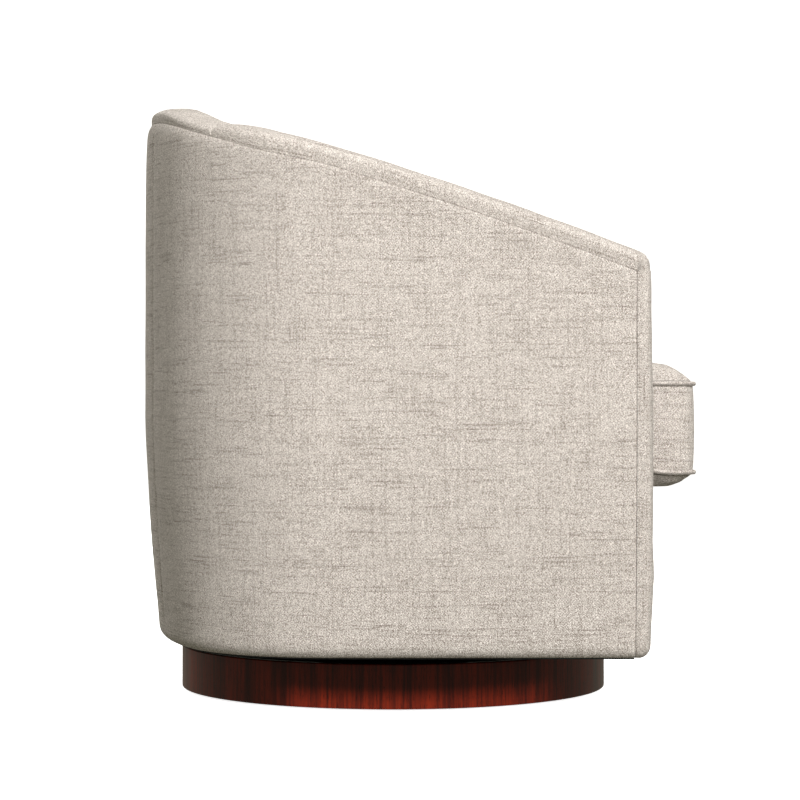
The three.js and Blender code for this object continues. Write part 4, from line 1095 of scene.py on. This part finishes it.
def apply_modifiers(piece):
    graph = bpy.context.evaluated_depsgraph_get()
    made = bpy.data.meshes.new_from_object(piece.evaluated_get(graph), depsgraph=graph)
    piece.modifiers.clear()
    old, piece.data = piece.data, made
    bpy.data.meshes.remove(old)


# Points measured at a time, so that the table of distances stays small
CHUNK = 2000


def nearest_outline(points):
    """Nearest place of the cushion's seam line: distance, place round it and its Y."""
    loop, places = cushion_outline(FINE_STEP)
    near = np.zeros(len(points), int)
    for start in range(0, len(points), CHUNK):
        part = points[start:start + CHUNK, None, :2] - loop[None]
        near[start:start + CHUNK] = (part ** 2).sum(2).argmin(1)
    away = np.linalg.norm(points[:, :2] - loop[near], axis=1)
    return away, places[near], loop[near, 1]


def seam_distance(points):
    """Distance of points from the nearer of the cushion's two seams."""
    cushion = settings().cushion
    away, _, y = nearest_outline(points)
    level = np.minimum(np.abs(points[:, 2] - cushion.upper_seam),
                       np.abs(points[:, 2] - lower_seam(y)))
    return np.hypot(away, level)


# Where the crown may start to swell, in from its seam, where the boxing is held back for the zip,
# each with the distance over which that grows, and what every point may move
SWELL_START, SWELL_RUN, ZIP_START, ZIP_RUN, LEAST_SWELL = 0.002, 0.015, 0.10, 0.05, 1e-4


def swell_limit(points):
    """How far each point of the cushion may be pushed out."""
    cushion = settings().cushion
    on_crown = smooth((nearest_outline(points)[0] - SWELL_START) / SWELL_RUN)
    behind = smooth((points[:, 1] - ZIP_START) / ZIP_RUN)
    return mix(cushion.side_swell * (1 - behind) + LEAST_SWELL, cushion.swell, on_crown)


# What counts as boxing: how far a face may lean up and how far it may lie from the seam line
BOXING_LEAN, BOXING_REACH = 0.5, 0.012


def cushion_weave(piece):
    """Lays the weave flat on the crown and the underside, and round the boxing."""
    mesh = piece.data
    points = points_of(piece)
    normals = np.zeros(len(points) * 3)
    mesh.vertex_normals.foreach_get("vector", normals)
    upright = np.abs(normals.reshape(-1, 3)[:, 2])
    away, places, _ = nearest_outline(points)
    boxing = (upright < BOXING_LEAN) & (away < BOXING_REACH)
    set_weave(mesh, np.where(boxing[:, None], pairs(places, points[:, 2]), points[:, :2]))


# Piping: share of its radius and distance between its lumps, and its sides
LUMP, LUMP_LENGTH, PIPING_SIDES = 0.05, 0.02, 12


def ahead_along(path):
    """Directions along a closed path."""
    ahead = np.roll(path, -1, axis=0) - np.roll(path, 1, axis=0)
    return ahead / np.linalg.norm(ahead, axis=1)[:, None]


def tube(name, path, radius):
    """A round welt along a closed path."""
    ahead = ahead_along(path)
    out = np.cross(ahead, [0, 0, 1.0])
    out /= np.linalg.norm(out, axis=1)[:, None]
    up = np.cross(out, ahead)
    angle = full_turn(PIPING_SIDES)
    along = run_along(path)
    lumps = 1 + LUMP * ripple(along, 0 * along, LUMP_LENGTH, SEEDS["welt"])
    rings = (path[:, None] + (radius * lumps)[:, None, None]
             * (out[:, None] * np.cos(angle)[None, :, None]
                + up[:, None] * np.sin(angle)[None, :, None]))
    return outward(place_mesh(name, rings, ring_faces(len(path), PIPING_SIDES, True),
                              pairs(along[:, None], angle[None] * radius)))


def add_boxes(boxes):
    """Points and faces of small boxes, each given by its middle and its half axes."""
    corners = np.array([[x, y, z] for x in (-1, 1) for y in (-1, 1) for z in (-1, 1)], float)
    quads = [[0, 1, 3, 2], [4, 6, 7, 5], [0, 4, 5, 1], [2, 3, 7, 6], [0, 2, 6, 4], [1, 5, 7, 3]]
    points, faces = [], []
    for middle, axes in boxes:
        faces += [[len(points) + i for i in quad] for quad in quads]
        points += list(np.array(middle) + corners @ np.array(axes))
    return np.array(points), faces


# Operators, one for each group of like pieces

class CHAIR_OT_outside(bpy.types.Operator):
    """Covers the outside of the tub in three padded panels of linen"""
    bl_idname = "chair.outside_panels"
    bl_label = "Outside panels"
    bl_options = {"REGISTER", "UNDO"}

    def execute(self, context):
        for name, *run in stretches(settings().tub.back_angle):
            panel = outside_panel(f"outside_panel_{name}", *run, SEEDS[f"outside_{name}"],
                                  name == "back")
            cover_in_linen(panel, f"outside_cover_{name}")
        return {"FINISHED"}


class CHAIR_OT_bands(bpy.types.Operator):
    """Makes the band along the top of the tub, which turns down the front of each arm"""
    bl_idname = "chair.top_bands"
    bl_label = "Top bands"
    bl_options = {"REGISTER", "UNDO"}

    def execute(self, context):
        grid = settings().sewing.grid
        seam = reach_of(settings().tub.band_angle)
        for name, side in SIDES:
            reach = side * graded(seam + FIT_GAP / 2, front_reach(), grid)
            top = top_band_rings(reach, [side * seam])
            rings = np.concatenate([top, front_band_rings(side)])
            band = swept(f"top_band_{name}", rings, band_weave(rings))
            cover_in_linen(band, f"arm_band_{name}")
        reach = graded(FIT_GAP / 2 - seam, seam - FIT_GAP / 2, grid)
        rings = top_band_rings(reach, [-seam, seam])
        band = swept("top_band_back", rings, band_weave(rings))
        cover_in_linen(band, "back_band")
        return {"FINISHED"}


class CHAIR_OT_inside(bpy.types.Operator):
    """Pads and covers the inside of the arms and the back"""
    bl_idname = "chair.inside_panels"
    bl_label = "Inside panels"
    bl_options = {"REGISTER", "UNDO"}

    def execute(self, context):
        for name, *run in stretches(settings().tub.band_angle):
            panel = inside_panel(f"inside_panel_{name}", *run, SEEDS[f"inside_{name}"])
            cover_in_linen(panel, f"inside_cover_{name}")
            pad, node = (("back_padding", "back_foam") if name == "back"
                         else (f"arm_padding_{name}", f"arm_foam_{name}"))
            finish_foam(padding(pad, *run), node)
        return {"FINISHED"}


# Deck pad: rounding of its edge, share of that at its bevel, how far its top is hollow, and the
# shares of its loop at which the underside and the top have rows
DECK_EDGE, DECK_BEVEL, DECK_HOLLOW = 0.004, 0.3, 0.004
DECK_MIDDLE, DECK_SHARES = 0.5, (0.9, 0.75, 0.6, 0.45, 0.3, 0.15)
# Dust sheet: clearance round the swivel plate and rings from there to the hem
SHEET_CLEARANCE, SHEET_RINGS = 0.0015, 12
# Length of the front panel's waves, and points of half a plan loop
PANEL_WAVE, LOOP_POINTS = 0.12, 120


class CHAIR_OT_deck(bpy.types.Operator):
    """Makes the seat deck, the panel in front of it and the dust sheet underneath"""
    bl_idname = "chair.seat_deck"
    bl_label = "Seat deck and front panel"
    bl_options = {"REGISTER", "UNDO"}

    def execute(self, context):
        self.make_deck()
        self.make_front()
        self.make_dust_sheet()
        return {"FINISHED"}

    def wall_loop(self, inset_of, front_y, level, taper_share):
        """Plan loop inside the wall, closed straight across at its front."""
        reach = np.linspace(reach_of(QUARTER) + arc_centres()[2] - front_y, 0, LOOP_POINTS)
        return mirrored(wall_points(reach, inset_of(reach), level, taper_share)[:, :2])

    def make_deck(self):
        low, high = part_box("deck_pad")
        loop = self.wall_loop(lambda reach: wall_thickness(reach, DECK_TOP) + FIT_GAP, low.y,
                              DECK_TOP, 0.0)
        half, bevel = (high.y - low.y) / 2, DECK_BEVEL * DECK_EDGE
        rows = [(DECK_MIDDLE, low.z), (1 - DECK_EDGE / half, low.z), (1, low.z + DECK_EDGE),
                (1, high.z - DECK_EDGE), (1 - bevel / half, high.z - bevel),
                (1 - DECK_EDGE / half, high.z)]
        rows += [(part, high.z - DECK_HOLLOW * (1 - part ** 4)) for part in DECK_SHARES]
        deck = pillow("seat_deck", loop, rows)
        set_weave(deck.data, points_of(deck)[:, :2])
        cover_in_linen(deck, "deck_pad", fill=0.7)

    def make_front(self):
        low, high, grid = BORDER_LOW, BORDER_HIGH, settings().sewing.grid
        across = graded(low.x, high.x, grid)[:, None]
        height = graded(low.z, high.z, grid)[None, :]
        from_end = np.minimum(across - low.x, high.x - across)
        from_edge = np.minimum(height - low.z, high.z - height)
        face = low.y + np.maximum(seam_roll(from_end), seam_roll(from_edge))
        face = face - unevenness(across, height, PANEL_WAVE, SEEDS["front_panel"], from_edge)
        near, far = (np.stack(np.broadcast_arrays(across, y, height), -1)
                     for y in (face, high.y))
        rings = there_and_back(near, far)
        cover_in_linen(swept("front_panel", rings, rings[..., [0, 2]]), "front_border")

    def make_dust_sheet(self):
        """Cambric stapled over the hem, so that its edge shows as a thin dark line under the tub,
        and a little slack between hem and swivel plate."""
        tub = settings().tub
        low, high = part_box("dust_cover")
        top, thick = tub.bottom - FIT_GAP, high.z - low.z
        outer = self.wall_loop(lambda reach: tub.bottom_round, low.y, tub.bottom, 1.0)
        middle = np.array([0, SWIVEL_Y])
        ray = (outer - middle) / np.abs(outer - middle).max(1)[:, None]
        inner = middle + ray * (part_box("swivel_upper_plate")[1].x + SHEET_CLEARANCE)
        part = np.linspace(0, 1, SHEET_RINGS)
        sag = tub.sheet_slack * np.sin(math.pi * part)
        rings = [np.insert(mix(inner, outer, p), 2, top - s, axis=1) for p, s in zip(part, sag)]
        rings += [ring - [0, 0, thick] for ring in rings[::-1]]
        sheet = outward(place_mesh("dust_sheet", np.array(rings),
                                   ring_faces(len(rings), len(outer), True)))
        finish_piece(sheet, shared_material("cambric_spun_bonded"), "tub", "cambric",
                     "dust_cover")


# Share of its limit by which the stuffing pushes the middle of the crown up
SWELL_SHARE = 0.5
# Filling: shares of the cover's width and fullness, so that the stuffed cloth lies over it
CORE_WIDTH, CORE_FULLNESS = 0.975, 0.5
# How much the relaxing evens the grid, and how often
RELAX, RELAX_ROUNDS = 0.5, 2
# Where the underside may hang in front of the deck, and over what length that grows
HANG_START, HANG_RUN = 0.004, 0.01
# Where the crown counts as crown, over its seam, with the height over which that grows, and the
# depth and length of its unevenness
TOP_START, TOP_RUN, TOP_DEPTH, TOP_WAVE = 0.004, 0.02, 0.0012, 0.12
# Zip: its teeth, half its angle round the back in degrees, and how far it stands proud
ZIP_TEETH, ZIP_ANGLE, ZIP_PROUD = 121, 15.8, 0.0002
# Half sizes along, out and up of a tooth and of a bit of tape, how far the teeth stand up and
# down by turns, and where the tapes lie
TOOTH, TAPE = (0.0008, 0.0007, 0.0014), (0.00103, 0.00035, 0.0021)
TOOTH_SHIFT, TAPE_PLACE, TAPE_SINK = 0.0007, 0.0042, 0.0003


class CHAIR_OT_cushion(bpy.types.Operator):
    """Sews and stuffs the loose seat cushion with its welts and zip"""
    bl_idname = "chair.seat_cushion"
    bl_label = "Seat cushion"
    bl_options = {"REGISTER", "UNDO"}

    def execute(self, context):
        cushion = settings().cushion
        crown = CUSHION_HIGH.z - cushion.upper_seam
        loop, rows = cushion_rows(crown - SWELL_SHARE * cushion.swell)
        cover = pillow("seat_cushion", loop, rows)
        blow_up(cover)
        self.settle(cover)
        cushion_weave(cover)
        cover_in_linen(cover, "cushion_cover", "seat_cushion", 0.85)
        core = pillow("cushion_filling", *cushion_rows(crown, CORE_WIDTH, CORE_FULLNESS))
        finish_foam(core, "cushion_core", "seat_cushion")
        self.make_welts(loop)
        self.make_zip()
        return {"FINISHED"}

    def settle(self, cover):
        """Rests the underside on the deck, smooths the grid and adds a little unevenness."""
        cushion = settings().cushion
        relax = cover.modifiers.new("relax", "SMOOTH")
        relax.factor, relax.iterations = RELAX, RELAX_ROUNDS
        apply_modifiers(cover)
        points = points_of(cover)
        x, y, z = points.T
        hang = cushion.belly * smooth((BORDER_LOW.y - HANG_START - y) / HANG_RUN)
        z[:] = np.maximum(z, CUSHION_LOW.z + FIT_GAP - hang)
        on_top = smooth((z - cushion.upper_seam - TOP_START) / TOP_RUN)
        z += TOP_DEPTH * on_top * ripple(x, y, TOP_WAVE, SEEDS["crown"])
        z += self.shoulder(points)
        set_points(cover, points)
        cover.data.polygons.foreach_set("use_smooth", [True] * len(cover.data.polygons))

    def shoulder(self, points):
        """Rise that rounds the crown out again where the cloth was pulled straight."""
        cushion = settings().cushion
        inside = nearest_outline(points)[0] / cushion.shoulder_reach
        above = smooth((points[:, 2] - cushion.upper_seam) / TOP_START)
        return cushion.shoulder_fill * above * smooth(inside) * (1 - smooth(inside - 1))

    def make_welts(self, loop):
        cushion = settings().cushion
        line = loop + ahead_along(loop)[:, ::-1] * [1, -1] * cushion.welt_out
        piping = shared_material("linen_piping_on_bias")
        for name, level in (("upper", cushion.upper_seam), ("lower", lower_seam(loop[:, 1]))):
            welt = tube(f"welt_{name}", np.insert(line, 2, level, axis=1), cushion.welt)
            finish_piece(welt, piping, "seat_cushion", "piping", f"cushion_welt_{name}")

    def make_zip(self):
        """The zip's teeth and its two tapes, along the back of the boxing."""
        cushion = settings().cushion
        seam = float(wall_thickness(np.array(0.0), DECK_TOP)) + cushion.clearance
        radius = rear_radius() - seam + cushion.bulge + ZIP_PROUD
        centre = np.array([0, arc_centres()[0], (cushion.upper_seam + cushion.lower_seam) / 2])
        boxes = []
        for i, angle in enumerate(np.linspace(-1, 1, ZIP_TEETH) * math.radians(ZIP_ANGLE)):
            sine, cosine = math.sin(angle), math.cos(angle)
            axes = np.array([[cosine, -sine, 0], [sine, cosine, 0], [0, 0, 1]])
            middle = centre + axes[1] * radius
            shift = TOOTH_SHIFT if i % 2 else -TOOTH_SHIFT
            boxes.append((middle + axes[2] * shift, axes * np.array(TOOTH)[:, None]))
            for place in (-TAPE_PLACE, TAPE_PLACE):
                boxes.append((middle + axes[2] * place - axes[1] * TAPE_SINK,
                              axes * np.array(TAPE)[:, None]))
        chain = place_mesh("cushion_zip", *add_boxes(boxes))
        finish_piece(chain, shared_material("nylon_moulded"), "seat_cushion", "nylon")


# Drum: wall, rounding of its edges, and its steps round, up and over an edge
DRUM_WALL, DRUM_EDGE = 0.012, 0.0015
DRUM_SIDES, DRUM_ROWS, EDGE_STEPS = 288, 10, 5


class CHAIR_OT_plinth(bpy.types.Operator):
    """Turns the veneered drum of the plinth"""
    bl_idname = "chair.plinth"
    bl_label = "Plinth"
    bl_options = {"REGISTER", "UNDO"}

    def execute(self, context):
        low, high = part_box("plinth_band")
        edge, inner = DRUM_EDGE, high.x - DRUM_WALL
        side, foot, head = high.x - edge, low.z + edge, high.z - edge
        arc = [(edge * math.sin(t), edge * math.cos(t))
               for t in np.linspace(0, QUARTER, EDGE_STEPS)]
        profile = np.array([(side + out, foot - up) for out, up in arc]
                           + [(high.x, z) for z in np.linspace(foot, head, DRUM_ROWS)[1:-1]]
                           + [(side + out, head + up) for up, out in arc]
                           + [(inner, high.z), (inner, low.z)])
        angle = full_turn(DRUM_SIDES)
        out = np.stack([np.sin(angle), np.cos(angle)], -1)
        rings = np.zeros((len(angle), len(profile), 3))
        rings[..., :2] = out[:, None] * profile[None, :, :1] + [0, SWIVEL_Y]
        rings[..., 2] = profile[None, :, 1]
        weave = pairs(angle[:, None] * high.x, profile[None, :, 1])
        drum = outward(place_mesh("plinth_drum", rings,
                                  ring_faces(len(angle), len(profile), True), weave))
        finish_piece(drum, shared_material("mahogany_veneer_lacquered"), "plinth",
                     "plinth_veneer", "plinth_band")
        return {"FINISHED"}


class CHAIR_OT_hidden(bpy.types.Operator):
    """Finishes the frame, boards, swivel, springs and glides that the CAD model holds"""
    bl_idname = "chair.carried_parts"
    bl_label = "Frame, boards and hardware"
    bl_options = {"REGISTER", "UNDO"}

    def execute(self, context):
        # The boards take a near-black colour that also paints the shade in the gap under the tub
        finishes = {"frame_wood": "poplar_sawn", "board": "plywood_stained",
                    "steel": "steel_zinc_plated", "nylon": "nylon_moulded"}
        for part in frame["record"]["subparts"]:
            if part["material_slot"] in finishes:
                node = frame["nodes"][part["node"]]
                dress(node, shared_material(finishes[part["material_slot"]]))
        return {"FINISHED"}


# Lights: name, setting of its power, place, size and the place that it faces
SEAT, GLOW_Y, GLOW_Z = (0, 0, 0.4), SWIVEL_Y - 0.03, 0.004
LIGHTS = (
    ("key_light", "key", (-5.5, -1.6, 2.7), 3.0, SEAT),
    ("rim_light", "rim", (4.6, 2.8, 1.6), 2.4, SEAT),
    ("top_light", "top", (-0.6, -0.4, 4.2), 3.0, SEAT),
    ("floor_glow", "glow", (-0.60, GLOW_Y, GLOW_Z), 0.34, (0, GLOW_Y, GLOW_Z)),
    ("back_light", "back", (-0.9, 0.8, 1.3), 0.6, SEAT),
)
# The glow off the floor is a low strip with a narrow beam, its angle in degrees
GLOW_HEIGHT, GLOW_BEAM = 0.006, 10
# Room: radii of its flat floor, radius of the bend, sides, and radii and heights of the rest
FLOOR_RINGS, ROOM_BEND, ROOM_SIDES = (0.02, 1.5, 4.0, 9.0), 3.0, 64
ROOM_WALL = (12.0, 8.0), (9.0, 12.0), (0.02, 13.0)


class CHAIR_OT_stage(bpy.types.Operator):
    """Sets up the floor, the pale backdrop, the soft lights and the camera"""
    bl_idname = "chair.stage"
    bl_label = "Studio stage"
    bl_options = {"REGISTER", "UNDO"}

    def execute(self, context):
        stage, scene = settings().stage, context.scene
        scene.view_settings.view_transform = "Standard"
        camera = bpy.data.objects.new("camera", bpy.data.cameras.new("camera"))
        scene.collection.objects.link(camera)
        camera.location = stage.camera_x, SWIVEL_Y + stage.camera_y, stage.camera_z
        camera.rotation_euler = QUARTER, 0, -QUARTER
        camera.data.lens, camera.data.sensor_width = stage.lens, 36.0
        scene.camera = camera
        self.make_room()
        for name, setting, *rest in LIGHTS:
            self.light(name, getattr(stage, setting), *rest)
        glow = bpy.data.lights["floor_glow"]
        glow.shape, glow.size_y, glow.spread = "RECTANGLE", GLOW_HEIGHT, math.radians(GLOW_BEAM)
        for name in ("rim_light", "back_light", "floor_glow"):
            bpy.data.objects[name].visible_glossy = False
        self.shade_plinth()
        world = bpy.data.worlds.new("studio_air")
        world.use_nodes = True
        scene.world = world
        back = world.node_tree.nodes["Background"]
        back.inputs["Color"].default_value = linear(stage.air)
        back.inputs["Strength"].default_value = stage.room
        return {"FINISHED"}

    def make_room(self):
        """A round pale floor that curves up into a plain backdrop."""
        turn = np.linspace(0, QUARTER, ARC_STEPS)[1:]
        profile = [(radius, 0.0) for radius in FLOOR_RINGS]
        profile += [(FLOOR_RINGS[-1] + ROOM_BEND * math.sin(t), ROOM_BEND * (1 - math.cos(t)))
                    for t in turn]
        profile += ROOM_WALL
        angle = full_turn(ROOM_SIDES)
        rings = np.array([[(r * math.cos(a), r * math.sin(a), z) for a in angle]
                          for r, z in profile])
        faces = ring_faces(len(profile), len(angle), False)
        faces.append(list(range(len(angle))))
        room = place_mesh("studio_floor", rings, faces)
        room.data.materials.append(finish_of("painted_studio_floor_matt", floor_paint))
        room.visible_diffuse = room.visible_glossy = room.visible_shadow = False

    def shade_plinth(self):
        """Keeps the lights over the chair off the plinth, as a flag in front of them would, so
        that the veneer stays deep and dark under the tub."""
        flagged = bpy.data.collections.new("flagged_from_key")
        flagged.objects.link(bpy.data.objects["plinth_drum"])
        flagged.collection_objects[0].light_linking.link_state = "EXCLUDE"
        for name in ("key_light", "top_light", "back_light"):
            bpy.data.objects[name].light_linking.receiver_collection = flagged

    def light(self, name, power, place, size, target):
        """A soft light that the camera doesn't see."""
        lamp = bpy.data.lights.new(name, "AREA")
        lamp.shape, lamp.size, lamp.energy = "DISK", size, power
        holder = bpy.data.objects.new(name, lamp)
        bpy.context.scene.collection.objects.link(holder)
        holder.location = place
        aim = np.array(target) - place
        holder.rotation_mode = "QUATERNION"
        holder.rotation_quaternion = Vector(aim).to_track_quat("-Z", "Y")
        holder.visible_camera = False


PIECES = (CHAIR_OT_outside, CHAIR_OT_bands, CHAIR_OT_inside, CHAIR_OT_deck, CHAIR_OT_cushion,
          CHAIR_OT_plinth, CHAIR_OT_hidden, CHAIR_OT_stage)


class CHAIR_PT_panel(bpy.types.Panel):
    """Lists the chair's operators and settings"""
    bl_idname = "CHAIR_PT_panel"
    bl_label = "Barrel chair"
    bl_space_type = "VIEW_3D"
    bl_region_type = "UI"
    bl_category = "Barrel chair"

    def draw(self, context):
        for piece in PIECES:
            self.layout.operator(piece.bl_idname)
        for name, group in GROUPS.items():
            box = self.layout.box()
            box.label(text=group.__doc__)
            for field in group.__annotations__:
                box.prop(getattr(settings(), name), field)


CLASSES = (*GROUPS.values(), BarrelChairSettings, *PIECES, CHAIR_PT_panel)


def register():
    for made in CLASSES:
        bpy.utils.register_class(made)
    bpy.types.Scene.barrel_chair = PointerProperty(type=BarrelChairSettings)


def unregister():
    del bpy.types.Scene.barrel_chair
    for made in reversed(CLASSES):
        bpy.utils.unregister_class(made)


def main():
    register()
    for piece in PIECES:
        group, name = piece.bl_idname.split(".")
        getattr(getattr(bpy.ops, group), name)()


if __name__ == "__main__":
    main()
